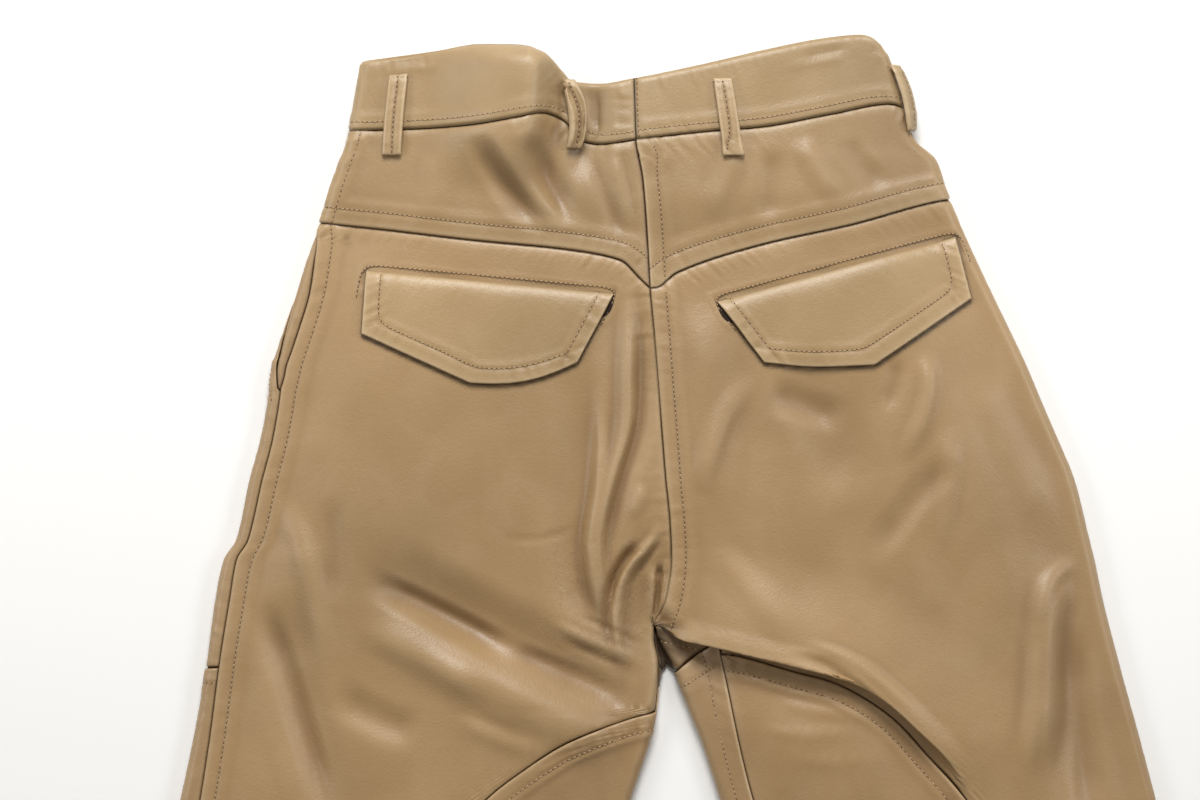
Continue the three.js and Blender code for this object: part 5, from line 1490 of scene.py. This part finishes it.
@dataclass
class Flap:
    """Flap of a back pocket, which hangs out of a slit: five corners, the lowest a blunt point."""

    name: str
    x: float
    y: float
    degrees: float
    top_outer: tuple[float, float] = (149, 0)
    bottom_outer: tuple[float, float] = (148, 39)
    point: tuple[float, float] = (81, 62)
    bottom_inner: tuple[float, float] = (18, 43.5)
    bulge: float = 1.5
    seed: int = 21

    def spot(self, leather: LaidLeather, u: Array, v: Array) -> Array:
        """Places of spots across and down from the top edge's inner end."""
        side = leather.sides[self.name]
        turn = math.radians(self.degrees)
        x = self.x - side.inward * (u * math.cos(turn) + v * math.sin(turn))
        y = self.y + u * math.sin(turn) - v * math.cos(turn)
        return np.column_stack([leather.arc_at(side, x, y), y])

    def line(self, leather: LaidLeather, *corners: tuple[float, float], count: int = 60) -> Array:
        """Places along straight lines between corners."""
        bends = np.array(corners, float)
        spots = along(bends, np.linspace(0, length_of(bends), count + 1))
        return self.spot(leather, spots[:, 0], spots[:, 1])

    def belly(self) -> list[tuple[float, float]]:
        """Corners of the round stretch between the point and the inner bottom corner."""
        a, b = np.array(self.point), np.array(self.bottom_inner)
        out = np.array([b[1] - a[1], a[0] - b[0]]) / np.linalg.norm(b - a)
        return [tuple(mix(a, b, t) + out * self.bulge * math.sin(math.pi * t))
                for t in (0.1, 0.2, 0.35, 0.5, 0.65, 0.8, 0.9)]

    def welt(self, leather: LaidLeather) -> Callable[[Array], Array]:
        """Groove of the slit in the back panel."""
        slit = self.line(leather, (3.4, 15.0), (-0.6, -0.4), (150.0, -0.4), (151.0, 12.0), count=90)

        def relief(places: Array) -> Array:
            """Height of the groove and its lip at places."""
            d, _ = nearest(slit, places)
            return 0.45 * np.exp(-((d - 2.2) / 1.5) ** 2) - 0.8 * np.exp(-(d / 0.9) ** 2)

        return relief

    def mouth(self, leather: LaidLeather, back: Panel) -> bpy.types.Object:
        """Make the dark sheet of painted shadow where the slit gapes beside the flap's inner end.

        Args:
            leather: the surface that it follows.
            back: the back panel, which it lies on.

        Returns:
            The finished piece.
        """
        t = np.linspace(0, 1, 13)
        along_it = np.column_stack([6.4 * t, 15.6 * t]) + [-0.8, 0.3]
        out = np.outer(2.6 * np.sin(math.pi * t ** 1.3) ** 0.8, [-0.93, 0.38])
        rows = [self.spot(leather, *(along_it + share * out + [0.6, 0]).T) for share in (-0.4, 0.3, 1.0)]
        points, normals = back.surface(leather, np.vstack(rows))
        k = np.arange(12)
        quads = np.vstack([np.column_stack([k + a, k + a + 1, k + a + 14, k + a + 13]) for a in (0, 13)])
        triangles = np.vstack([quads[:, :3], quads[:, [0, 2, 3]]])
        return mesh_object(f"slit_mouth_{self.name}", points + normals * 0.3, triangles)

    def shade(self, leather: LaidLeather) -> Callable[[Array], Array]:
        """Painted shade on the back panel: in the slit, in its mouth, and the shadow close below the flap's
        edge.
        """
        slit = self.line(leather, (0, -0.7), (self.top_outer[0], -0.7), count=90)
        rim = self.line(leather, (5.5, 14.0), self.bottom_inner, *self.belly()[::-1], self.point,
                        self.bottom_outer, self.top_outer, count=160)

        def pit(places: Array) -> Array:
            """How much painted shade darkens the leather at places, from 0 to 1."""
            line, _ = nearest(slit, places)
            under, _ = nearest(rim, places)
            return np.maximum(0.2 * np.exp(-(line / 0.75) ** 2), 0.8 * np.exp(-(under / 1.4) ** 2))

        return pit

    def frame_row(self, leather: LaidLeather) -> Array:
        """Sewing on the back panel along the slit, with its short tails."""
        return self.line(leather, (6.2, 20.0), (-3.2, -2.7), (152.2, -2.7), (153.6, 17.0), count=240)

    def panel(self, leather: LaidLeather) -> Panel:
        """The flap's leather."""
        side = leather.sides[self.name]
        top = self.line(leather, self.top_outer, (0, 0))
        bottom = self.line(leather, self.bottom_outer, self.point, *self.belly(), self.bottom_inner)
        start = self.line(leather, self.top_outer, self.bottom_outer, count=26)
        end = self.line(leather, (0, 0), self.bottom_inner, count=26)
        stand = FLAP_CLEARANCE + FLAP_THICKNESS

        def lift(places: Array) -> Array:
            """Height over the back, from the slit outwards."""
            d, _ = nearest(top, places)
            return mix(0.3, stand, 1 - np.exp(-d / 4.5))

        edges = [
            Edge(top, UNDER, pucker=0.1),
            Edge(joined(start, bottom), FREE, (9.0,), rise=0.55, pucker=0.2),
            Edge(end, FREE, (9.0,), rise=0.55, pucker=0.2),
        ]
        return Panel(f"flap_{self.name}", side, [Patch(top, bottom, start, end, columns=96)], edges,
                     thickness=FLAP_THICKNESS, lift=lift, finish="flap", seed=self.seed)


@dataclass
class BeltLoop:
    """A belt loop that bridges the waistband and is sewn down at both ends."""

    number: int
    side: str
    top: tuple[float, float]
    bottom: tuple[float, float]
    width: float = LOOP_WIDTH
    stand: float = 2.6
    clear: float = LOOP_CLEARANCE
    arc: float | None = None
    is_under: bool = False
    pinch: float = 0.0
    bow: float = 0.0

    def middle(self, leather: LaidLeather, along_it: Array) -> Array:
        """Places on its middle line, from 0 at the top to 1 at the bottom."""
        side = leather.sides[self.side]
        y = mix(self.top[1], self.bottom[1], along_it)
        if self.arc is not None:
            return np.column_stack([np.full(len(y), self.arc), y])
        x = mix(self.top[0], self.bottom[0], along_it) + self.bow * np.sin(math.pi * along_it)
        arc = leather.arc_at(side, x, y)
        return np.column_stack([-arc if self.is_under else arc, y])

    def line(self, leather: LaidLeather, across: float, count: int = 60) -> Array:
        """Places down the loop, across from its middle."""
        return self.middle(leather, np.linspace(0, 1, count + 1)) + [across, 0.0]

    def panel(self, leather: LaidLeather) -> Panel:
        """The loop's leather."""
        side = leather.sides[self.side]
        half = self.width / 2
        start, end = self.line(leather, -half), self.line(leather, half)
        share = np.linspace(-1, 1, 13)[:, None]
        top = start[0] * (1 - share) / 2 + end[0] * (1 + share) / 2
        bottom = start[-1] * (1 - share) / 2 + end[-1] * (1 + share) / 2
        base = BAND_LIFT + self.clear + LOOP_THICKNESS

        def lift(places: Array) -> Array:
            """Height of the bridge over the waistband, with its pinch and its crown."""
            run = np.clip((self.top[1] - places[:, 1]) / (self.top[1] - self.bottom[1]), 0, 1)
            bridge = self.stand * np.sin(math.pi * run) ** 0.6
            spots = self.middle(leather, run)
            across = (places[:, 0] - spots[:, 0]) / half
            fold = np.cos(1.5 * math.pi * np.clip(across, -1, 1)) ** 2
            fold *= np.where(np.abs(across) < 0.34, -1, 1)
            tent = self.pinch * fold * smooth(run / 0.25) * smooth((1 - run) / 0.15)
            crown = 0.0 if self.is_under else 0.3 * (1 - across ** 2)
            return base + bridge + tent + crown

        edges = [
            Edge(start, FREE, (half,), rise=0.0, pucker=0.04),
            Edge(end, FREE, rise=0.0, pucker=0.04),
            Edge(top, FREE, (2.6,), rise=0.3, pucker=0.0),
            Edge(bottom, FREE, rise=0.3, pucker=0.0),
        ]
        return Panel(f"belt_loop_{self.number}", side, [Patch(top, bottom, start, end, columns=34)], edges,
                     thickness=LOOP_THICKNESS, lift=lift, finish="band", seed=30 + self.number,
                     strap_width=LOOP_WIDTH)


FLAPS = (Flap("left", 8.7, 64.2, 5.4, bulge=5.5), Flap("right", 69.3, 59.4, 15.2, seed=22))
LOOPS = (
    BeltLoop(1, "left", (-120, 195), (-124.2, 145.8)),
    BeltLoop(2, "left", (-19.5, 191), (-16.5, 150), width=8.0, stand=3.2, clear=1.4, pinch=1.3, bow=3.0),
    BeltLoop(3, "right", (73, 192), (79.8, 145.2)),
    BeltLoop(4, "right", (0, 200), (0, 160), width=6.5, stand=3.6, clear=0.9, arc=3),
    BeltLoop(5, "left", (-72, 184), (-72, 136), stand=0, is_under=True),
    BeltLoop(6, "right", (112, 184), (112, 140), stand=0, is_under=True),
)


# ---------------- sewing
def offset_row(line: Array, distance: float) -> Array:
    """A line moved to its left by a distance."""
    ahead = np.gradient(line, axis=0)
    ahead /= np.maximum(np.linalg.norm(ahead, axis=1), 1e-9)[:, None]
    return line + distance * np.column_stack([-ahead[:, 1], ahead[:, 0]])


def is_inside(polygon: Array, points: Array) -> Array:
    """Whether points lie inside a closed polygon."""
    x0, y0 = polygon[:, 0], polygon[:, 1]
    x1, y1 = np.roll(x0, -1), np.roll(y0, -1)
    px, py = points[:, :1], points[:, 1:]
    spans = (y0 > py) != (y1 > py)
    level = np.where(y1 == y0, 1.0, y1 - y0)
    return (spans & (px < x0 + (py - y0) * (x1 - x0) / level)).sum(axis=1) % 2 == 1


class Sewing:
    """Thread and the needle holes' painted shade, of many seams, gathered into two meshes."""

    PITCH = 3.0
    LENGTH = 2.3
    WIDTH = 0.8
    HOLE = 0.4
    CALM_PASSES = 8

    def __init__(self, leather: LaidLeather, name: str) -> None:
        """Start with no thread."""
        self.leather = leather
        self.name = name
        self.draw = np.random.default_rng(7)
        self.thread: list[tuple[Array, Array]] = []
        self.holes: list[tuple[Array, Array]] = []

    def outline(self, panel: Panel) -> list[Array]:
        """Outline of each patch, in stretched arc and y."""
        return [np.vstack([p.top, p.end, p.bottom[::-1], p.start[::-1]]) for p in panel.patches]

    def seams(self, panel: Panel, extra: Iterable[Array] = ()) -> None:
        """Sew every row that a panel's edges ask for.

        Args:
            panel: the piece of leather.
            extra: more rows of places to sew along.
        """
        outlines = self.outline(panel)

        def inside(points: Array) -> Array:
            """Whether each point lies on the panel."""
            return np.any([is_inside(outline, points) for outline in outlines], axis=0)

        for edge in panel.edges:
            for distance in edge.stitches:
                rows = [offset_row(edge.row, way * distance) for way in (-1, 1)]
                row = max(rows, key=lambda line: inside(line).sum())
                keep = inside(row) & (nearest(edge.line, row)[0] > distance - 0.3)
                for other in panel.edges:
                    if other.stitches and other is not edge and FREE is other.edging is edge.edging:
                        keep &= nearest(other.line, row)[0] > min(other.stitches) - 0.3
                self.sew(panel, row[keep])
        for row in extra:
            self.sew(panel, row)

    def sew(self, panel: Panel, line: Array) -> None:
        """Sew along a line of places on a panel."""
        if len(line) < 3:
            return
        steps = np.linalg.norm(np.diff(line, axis=0), axis=1)
        for part in np.split(np.arange(len(line)), np.flatnonzero(steps > 25) + 1):
            total = length_of(line[part]) if len(part) > 1 else 0.0
            count = int(total / self.PITCH)
            if count < 1:
                continue
            ends = along(line[part], np.linspace(0.0, total, count + 1))
            points, normals = panel.surface(self.leather, ends)
            points = self._calm(points, normals)
            self._threads(points, normals, self.LENGTH / self.PITCH, self.WIDTH)
            self._needle_holes(points, normals)

    def _calm(self, points: Array, normals: Array) -> Array:
        """Slide each point over the surface, so that a row runs without kinks."""
        for _ in range(self.CALM_PASSES):
            slide = np.zeros_like(points)
            slide[1:-1] = (points[:-2] + points[2:]) / 4 - points[1:-1] / 2
            points = points + slide - normals * (slide * normals).sum(axis=1)[:, None]
        return points

    def _threads(self, points: Array, normals: Array, share: float, width: float) -> None:
        """Lay one thread between each two points, sunk in at both ends.

        Args:
            points: the needle's holes, in order.
            normals: the leather's normals there.
            share: how much of the way from hole to hole a thread spans.
            width: the thread's width.
        """
        start, end = points[:-1], points[1:]
        centre, normal = (start + end) / 2, normals[:-1] + normals[1:]
        normal /= np.linalg.norm(normal, axis=1)[:, None]
        ahead = end - start
        size = np.linalg.norm(ahead, axis=1)
        ahead /= np.maximum(size, 1e-9)[:, None]
        beside = np.cross(normal, ahead)
        slant = self.draw.normal(0.10, 0.05, len(centre))[:, None]
        ahead = ahead + slant * beside
        half = size * share / 2 * self.draw.normal(1.0, 0.04, len(centre))
        turns = np.arange(6) * math.pi / 3
        rings = [(-0.62, 0.84, 0.12), (0.0, 1.0, 0.3), (0.62, 0.84, 0.12)]
        shape = [(-1.0, 0.0, -0.2)]
        for run, fat, rise in rings:
            shape += [(run, fat * math.cos(t) * width / 2, rise + fat * math.sin(t) * width * 0.42)
                      for t in turns]
        shape.append((1.0, 0.0, -0.2))
        shape = np.array(shape)
        verts = (centre[:, None] + ahead[:, None] * (half[:, None] * shape[:, 0])[..., None]
                 + beside[:, None] * shape[None, :, 1, None] + normal[:, None] * shape[None, :, 2, None])
        self.thread.append((verts.reshape(-1, 3), self._capsule(len(centre))))

    @staticmethod
    def _capsule(count: int) -> Array:
        """Faces of that many capsules of three rings."""
        faces = [(0, 1 + (k + 1) % 6, 1 + k) for k in range(6)]
        for ring in (0, 1):
            a, b = 1 + 6 * ring, 7 + 6 * ring
            for k in range(6):
                n = (k + 1) % 6
                faces += [(a + k, a + n, b + n), (a + k, b + n, b + k)]
        faces += [(19, 13 + k, 13 + (k + 1) % 6) for k in range(6)]
        return (np.array(faces)[None] + 20 * np.arange(count)[:, None, None]).reshape(-1, 3)

    def _needle_holes(self, points: Array, normals: Array) -> None:
        """A small dark disc at each point: the needle hole's painted shade."""
        ahead = np.gradient(points, axis=0) if len(points) > 1 else np.array([[1.0, 0.0, 0.0]])
        ahead /= np.maximum(np.linalg.norm(ahead, axis=1), 1e-9)[:, None]
        beside = np.cross(normals, ahead)
        turns = np.arange(8) * math.pi / 4
        ring = (points[:, None] + ahead[:, None] * (self.HOLE * 1.15 * np.cos(turns))[None, :, None]
                + beside[:, None] * (self.HOLE * np.sin(turns))[None, :, None] + normals[:, None] * 0.2)
        verts = np.concatenate([(points + normals * 0.18)[:, None], ring], axis=1)
        fan = np.array([(0, 1 + k, 1 + (k + 1) % 8) for k in range(8)])
        faces = (fan[None] + 9 * np.arange(len(points))[:, None, None]).reshape(-1, 3)
        self.holes.append((verts.reshape(-1, 3), faces))

    def objects(self) -> list[bpy.types.Object]:
        """Make the meshes of the thread and of the holes' painted shade."""
        made = []
        for label, parts in (("thread", self.thread), ("needle_holes", self.holes)):
            starts = np.cumsum([0] + [len(points) for points, _ in parts[:-1]])
            points = np.vstack([points for points, _ in parts])
            points[:, 2] = np.maximum(points[:, 2], LOWEST)
            faces = np.vstack([faces + start for (_, faces), start in zip(parts, starts)])
            made.append(mesh_object(f"{self.name}_{label}", points, faces))
        return made


# ---------------- finishes
def linear(tone: Iterable[int], factor: float = 1.0) -> tuple[float, float, float, float]:
    """Turn a tone of 0 to 255 into the renderer's own count, lighter or darker by a factor."""
    parts = (min(255, int(value * factor)) / 255 for value in tone)
    return (*(v / 12.92 if v <= 0.04045 else ((v + 0.055) / 1.055) ** 2.4 for v in parts), 1.0)


def arithmetic(operation: str, is_reflected: bool = False) -> Callable[[Wire, Wire | float], Wire]:
    """Make an operator of Wire.

    Args:
        operation: what its Math node does.
        is_reflected: whether the wire is the second of the two values.

    Returns:
        The method, which adds the node and gives its output.
    """
    def operator(wire: Wire, other: Wire | float) -> Wire:
        """Output of a new Math node on both values."""
        first, second = (other, wire) if is_reflected else (wire, other)
        return wire.graph.add("ShaderNodeMath", {0: first, 1: second}, operation=operation)

    return operator


class Wire:
    """A node's output that arithmetic works on."""

    def __init__(self, graph: Graph, socket: bpy.types.NodeSocket) -> None:
        """Keep the socket and the graph that it belongs to."""
        self.graph, self.socket = graph, socket

    __add__ = arithmetic("ADD")
    __radd__ = arithmetic("ADD", is_reflected=True)
    __sub__ = arithmetic("SUBTRACT")
    __rsub__ = arithmetic("SUBTRACT", is_reflected=True)
    __mul__ = arithmetic("MULTIPLY")
    __rmul__ = arithmetic("MULTIPLY", is_reflected=True)

    def clipped(self, low: float, high: float) -> Wire:
        """The value between low and high as a share from 0 to 1."""
        return self.graph.add("ShaderNodeMapRange", {0: self, 1: low, 2: high}, clamp=True)


class Graph:
    """The nodes of one material."""

    def __init__(self, name: str) -> None:
        """Make an empty material of a name."""
        self.material = bpy.data.materials.new(name)
        self.material.use_nodes = True
        self.tree = self.material.node_tree
        self.tree.nodes.clear()

    def add(self, kind: str, inputs: dict | None = None, output: int | str = 0, **settings) -> Wire:
        """Add a node.

        Args:
            kind: the node's type.
            inputs: a value or wire for each input, by name or number.
            output: the output that is wanted.
            settings: the node's own properties, set before its inputs.

        Returns:
            The wanted output.
        """
        node = self.tree.nodes.new(kind)
        for key, value in settings.items():
            setattr(node, key, value)
        for key, value in (inputs or {}).items():
            socket = node.inputs[key]
            if isinstance(value, Wire):
                self.tree.links.new(value.socket, socket)
            else:
                socket.default_value = value
        return Wire(self, node.outputs[output])

    def mixed(self, factor: Wire | float, first: Wire | tuple, second: Wire | tuple) -> Wire:
        """Blend of two colours."""
        return self.add("ShaderNodeMix", {0: factor, 6: first, 7: second}, output=2, data_type="RGBA")

    def noise(self, where: Wire, scale: float, detail: float = 2.0, roughness: float = 0.5,
              distortion: float = 0.0) -> Wire:
        """Noise from 0 to 1."""
        return self.add("ShaderNodeTexNoise", {"Vector": where, "Scale": scale, "Detail": detail,
                                               "Roughness": roughness, "Distortion": distortion})

    def finish(self, inputs: dict) -> bpy.types.Material:
        """Close the graph with a surface of these inputs."""
        surface = self.add("ShaderNodeBsdfPrincipled", inputs)
        end = self.tree.nodes.new("ShaderNodeOutputMaterial")
        self.tree.links.new(surface.socket, end.inputs["Surface"])
        return self.material


@dataclass(frozen=True)
class LeatherFinish:
    """Soft matt tan leather with a fine grain, pale along its edges from wear and painted highlight, with
    painted shade in its creases.
    """

    name: str
    tone: Tone
    crease_shade: Tone = (98, 68, 40)
    # pale: faint mottling, rubbed wear, and painted highlight on edges and ridges
    pale: Tone = (214, 190, 154)
    # colour of the painted shade in the slit, under the flaps and along the tucked seams
    dark: Tone = (40, 27, 17)
    roughness: float = 0.43
    grain: float = 0.45
    grain_depth: float = 0.00035

    def make(self) -> bpy.types.Material:
        """Build the material."""
        g = Graph(self.name)
        where = g.add("ShaderNodeTexCoord", output="Object")
        wear, hollow, pit = (g.add("ShaderNodeAttribute", attribute_name=mark, output="Fac")
                             for mark in ("wear", "hollow", "pit"))
        cloudy = g.noise(where, 34.0, 4.0, 0.6, 0.4)
        fine = g.noise(where, 520.0, 3.0, 0.6, 0.3)
        darker = linear(self.tone, 0.93)
        colour = g.mixed(g.noise(where, 6.0, 3.0, 0.55).clipped(0.34, 0.68), darker,
                         linear(self.tone, 1.03))
        for share, tone in ((cloudy.clipped(0.45, 0.75) * 0.08, linear(self.pale)),
                            (fine.clipped(0.52, 0.8) * 0.16, darker),
                            # painted shade in the creases
                            (hollow.clipped(0.03, 1.0) * 0.42, linear(self.crease_shade)),
                            # painted highlight and wear on the ridges
                            ((hollow * -1.0).clipped(0.1, 1.0) * 0.16, linear(self.pale)),
                            # painted shade beside the tucked edges
                            ((wear * -1.0).clipped(0.1, 0.8) * 0.85, linear(self.crease_shade)),
                            # pale edges: rubbed wear and a painted highlight
                            (wear.clipped(0.3, 1.0) * (0.12 + cloudy * 0.4), linear(self.pale)),
                            # painted shade in the slit, under the flaps and along the tucked seams
                            (pit.clipped(0.02, 1.0) * 0.93, linear(self.dark))):
            colour = g.mixed(share, colour, tone)
        bump = g.add("ShaderNodeBump", {"Height": self.relief(g, where, fine), "Strength": self.grain,
                                        "Distance": self.grain_depth})
        return g.finish({"Base Color": colour, "Roughness": self.roughness + fine * 0.12 - 0.06,
                         "Normal": bump, "Specular IOR Level": 0.55})

    @staticmethod
    def relief(g: Graph, where: Wire, fine: Wire) -> Wire:
        """Height of the pores, the grain and the slanted wrinkles beside the crotch.

        Args:
            g: the material's nodes.
            where: the place on the piece.
            fine: the grain's own noise.

        Returns:
            The height, for a bump.
        """
        to_crotch = g.add("ShaderNodeVectorMath", {0: where, 1: CREASED_AT}, output="Value",
                          operation="DISTANCE")
        creased = (1.0 - to_crotch * 15.0).clipped(0.0, 0.6)
        slanted = g.add("ShaderNodeMapping", {"Vector": where, "Rotation": (0.0, 0.0, 0.75),
                                              "Scale": (1.0, 0.3, 1.0)})
        pores = g.add("ShaderNodeTexVoronoi", {"Vector": where, "Scale": 900.0}, feature="F1")
        return (pores * 0.35 + fine * 0.7 + g.noise(where, 190.0, 3.0, 0.6, 1.2) * 0.8
                + g.noise(slanted, 430.0, 2.0, 0.5, 0.9) * creased * 3.2)


@dataclass(frozen=True)
class PlainFinish:
    """A plain surface with faint unevenness, such as thread, tape, brass, or the painted shade of a hole or
    slit.
    """

    name: str
    tone: Tone
    roughness: float = 0.6
    metallic: float = 0.0
    shade: float = 0.85
    scale: float = 800.0

    def make(self) -> bpy.types.Material:
        """Build the material."""
        g = Graph(self.name)
        weave = g.noise(g.add("ShaderNodeTexCoord", output="Object"), self.scale, 2.0)
        colour = g.mixed(weave, linear(self.tone, self.shade), linear(self.tone))
        return g.finish({"Base Color": colour, "Roughness": self.roughness, "Metallic": self.metallic})


# ---------------- closure
@dataclass
class Closure:
    """Zip teeth on the tape inside the fly."""

    top: float = 126.0
    bottom: float = -8.0
    pitch: float = 2.2
    reach: float = 2.6
    overlap: float = 0.5
    height: float = 2.6
    length: float = 1.2
    middle_z: float = 2.9

    def tooth(self) -> bpy.types.Object:
        """Model one tooth round the origin."""
        bpy.ops.object.select_all(action="DESELECT")
        bpy.ops.mesh.primitive_cube_add(size=MM, location=(0.0, 0.0, 0.0))
        bpy.ops.object.mode_set(mode="EDIT")
        bpy.ops.mesh.select_all(action="SELECT")
        bpy.ops.transform.resize(value=(self.reach + self.overlap, self.length, self.height))
        bpy.ops.object.mode_set(mode="OBJECT")
        return bpy.context.object

    def build(self, leather: LaidLeather) -> bpy.types.Object:
        """Copy the tooth along both edges of the tape, and join the copies.

        Args:
            leather: the surface that the fly follows.

        Returns:
            Both rows of teeth as one piece.
        """
        tooth = self.tooth()
        copies = []
        for y in np.arange(self.bottom, self.top, self.pitch):
            for way in (-1, 1):
                middle = leather.front(y) + way * (self.reach - self.overlap) / 2
                place = np.array([float(middle), y + self.pitch / 2 * (way > 0),
                                  float(leather.floor_rise(y)) + self.middle_z])
                copy = bpy.data.objects.new("zip_teeth", tooth.data.copy())
                copy.data.transform(Matrix.Translation((place + ORIGIN) * MM))
                bpy.context.collection.objects.link(copy)
                copies.append(copy)
        bpy.data.objects.remove(tooth)
        for copy in copies:
            copy.select_set(True)
        bpy.context.view_layer.objects.active = copies[0]
        bpy.ops.object.join()
        return copies[0]


# ---------------- setting
@dataclass(frozen=True)
class SoftLight:
    """A square area light, with its place from the view's middle, in metres and watts."""

    name: str
    place: tuple[float, float, float]
    size: float
    power: float

    def make(self, middle: Vector) -> None:
        """Hang the light, facing the middle of the view."""
        data = bpy.data.lights.new(self.name, "AREA")
        data.shape, data.size, data.energy = "SQUARE", self.size, self.power
        lamp = bpy.data.objects.new(self.name, data)
        lamp.location = middle + Vector(self.place)
        lamp.rotation_euler = (middle - lamp.location).to_track_quat("-Z", "Y").to_euler()
        bpy.context.collection.objects.link(lamp)


@dataclass
class Setting:
    """Floor, light and camera of the view, in metres."""

    middle: Vector = field(default_factory=lambda: Vector((ORIGIN[0] * MM, ORIGIN[1] * MM, 0.0)))
    lights: tuple[SoftLight, ...] = (
        SoftLight("key", (0.0, 1.35, 1.4), 0.8, 38.0),
        SoftLight("left_fill", (-1.7, 0.3, 1.3), 0.7, 10.0),
        SoftLight("right_fill", (1.6, 0.4, 1.4), 0.7, 10.0),
    )
    camera_height: float = 2.012
    lens: float = 100.0
    sensor: float = 36.0
    floor_size: float = 12.0
    floor_depth: float = 0.0002
    glow: tuple[float, float, float, float] = (1.0, 0.985, 0.96, 1.0)
    glow_strength: float = 0.2

    def floor(self) -> None:
        """Lay a matt white surface under the trousers."""
        bpy.ops.mesh.primitive_plane_add(size=self.floor_size,
                                         location=(*self.middle.xy, -self.floor_depth))
        ground = bpy.context.object
        ground.name = "floor"
        g = Graph("floor_white")
        cloudy = g.noise(g.add("ShaderNodeTexCoord", output="Object"), 3.0)
        colour = g.mixed(cloudy, linear((244, 243, 240)), linear((248, 248, 246)))
        ground.data.materials.append(g.finish({"Base Color": colour, "Roughness": 0.9,
                                               "Specular IOR Level": 0.1}))

    def light(self) -> None:
        """Hang soft light from the waist's end, softer fill from the sides, and a faint glow all round."""
        for lamp in self.lights:
            lamp.make(self.middle)
        world = bpy.data.worlds.new("soft_room")
        world.use_nodes = True
        background = world.node_tree.nodes["Background"]
        background.inputs["Color"].default_value = self.glow
        background.inputs["Strength"].default_value = self.glow_strength
        bpy.context.scene.world = world

    def camera(self) -> None:
        """Look straight down on the seat."""
        data = bpy.data.cameras.new("camera")
        data.lens, data.sensor_width = self.lens, self.sensor
        viewer = bpy.data.objects.new("camera", data)
        viewer.location = (*self.middle.xy, self.camera_height)
        bpy.context.collection.objects.link(viewer)
        scene = bpy.context.scene
        scene.camera = viewer
        scene.view_settings.view_transform = "Standard"


# ---------------- main
TONES = {
    "seat": (163, 132, 91), "yoke": (157, 129, 90), "band": (160, 133, 94), "flap": (166, 137, 96),
    "patch": (160, 128, 88), "front": (156, 125, 86),
}


class Trousers:
    """The whole garment."""

    def __init__(self) -> None:
        """Gather the surface, the panels and the finishes."""
        self.leather = LaidLeather()
        self.finishes = {key: LeatherFinish(f"leather_{key}", tone).make() for key, tone in TONES.items()}
        self.thread = PlainFinish("thread_tan", (196, 166, 128), 0.55, shade=0.7, scale=900.0).make()
        # needle holes: dark discs of painted shade
        self.hole = PlainFinish("needle_hole", (98, 68, 42), 0.9).make()
        # colour of the painted shadow sheet in the slit's mouth
        self.slit = PlainFinish("slit_shadow", (44, 30, 19), 0.95).make()
        self.brass = PlainFinish("zip_brass", (196, 168, 104), 0.32, 1.0).make()
        self.tape = PlainFinish("zip_tape", (120, 92, 64), 0.85).make()

    @staticmethod
    def attach(piece: bpy.types.Object, finish: bpy.types.Material, slot: str) -> None:
        """Give a piece its finish and its body, and report it."""
        piece.data.materials.append(finish)
        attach(piece, "root")
        LOG.info("%s: %d faces", piece.name, len(piece.data.polygons))

    def dress(self, panel: Panel) -> None:
        """Build a panel, give it its finish, hide its node and log its cut."""
        piece = panel.build(self.leather)
        self.attach(piece, self.finishes[panel.finish], "leather")
        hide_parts(panel.node)
        width, length, area = panel.cut
        min(area, width * length)
        LOG.info("%s: cut %.0f x %.0f mm, %.4f m2", panel.name, width / MM, length / MM, area)

    def dress_sewing(self, sewing: Sewing) -> None:
        """Build a set of seams and give them their finishes."""
        for piece, finish in zip(sewing.objects(), (self.thread, self.hole)):
            self.attach(piece, finish, "thread")

    def dress_half(self, name: str, flap: Flap) -> None:
        """Build one side's panels and their sewing, with the slit of its back pocket.

        Args:
            name: left or right.
            flap: the pocket's flap.
        """
        sewing = Sewing(self.leather, f"{name}_seams")
        for panel in Half(self.leather, name).panels(flap):
            self.dress(panel)
            extra = ()
            if panel.node == f"back_{name}":
                # the slit's mouth: a dark sheet of painted shadow laid on the back
                self.attach(flap.mouth(self.leather, panel), self.slit, "leather")
                extra = (flap.frame_row(self.leather),)
            sewing.seams(panel, extra)
        self.dress_sewing(sewing)

    def build(self, frame: dict) -> None:
        """Build every piece, and finish the nodes that stay as they are."""
        for flap in FLAPS:
            self.dress_half(flap.name, flap)
        details = Sewing(self.leather, "detail_seams")
        for part in (*FLAPS, *LOOPS):
            panel = part.panel(self.leather)
            self.dress(panel)
            details.seams(panel)
        self.dress_sewing(details)
        self.attach(Closure().build(self.leather), self.brass, "zip_metal")
        for node, finish in (("fly_zip", self.tape), ("zip_slider", self.brass),
                             ("waist_hook", self.brass)):
            materials = frame["nodes"][node].data.materials
            for number in range(len(materials)):
                materials[number] = finish
            if len(materials) == 0:
                materials.append(finish)


def main() -> None:
    """Build the trousers and their setting."""
    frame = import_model()
    Trousers().build(frame)
    setting = Setting()
    setting.floor()
    setting.light()
    setting.camera()
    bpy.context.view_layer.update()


if __name__ == "__main__":
    logging.basicConfig(level=logging.INFO, format="%(name)s: %(message)s")
    main()
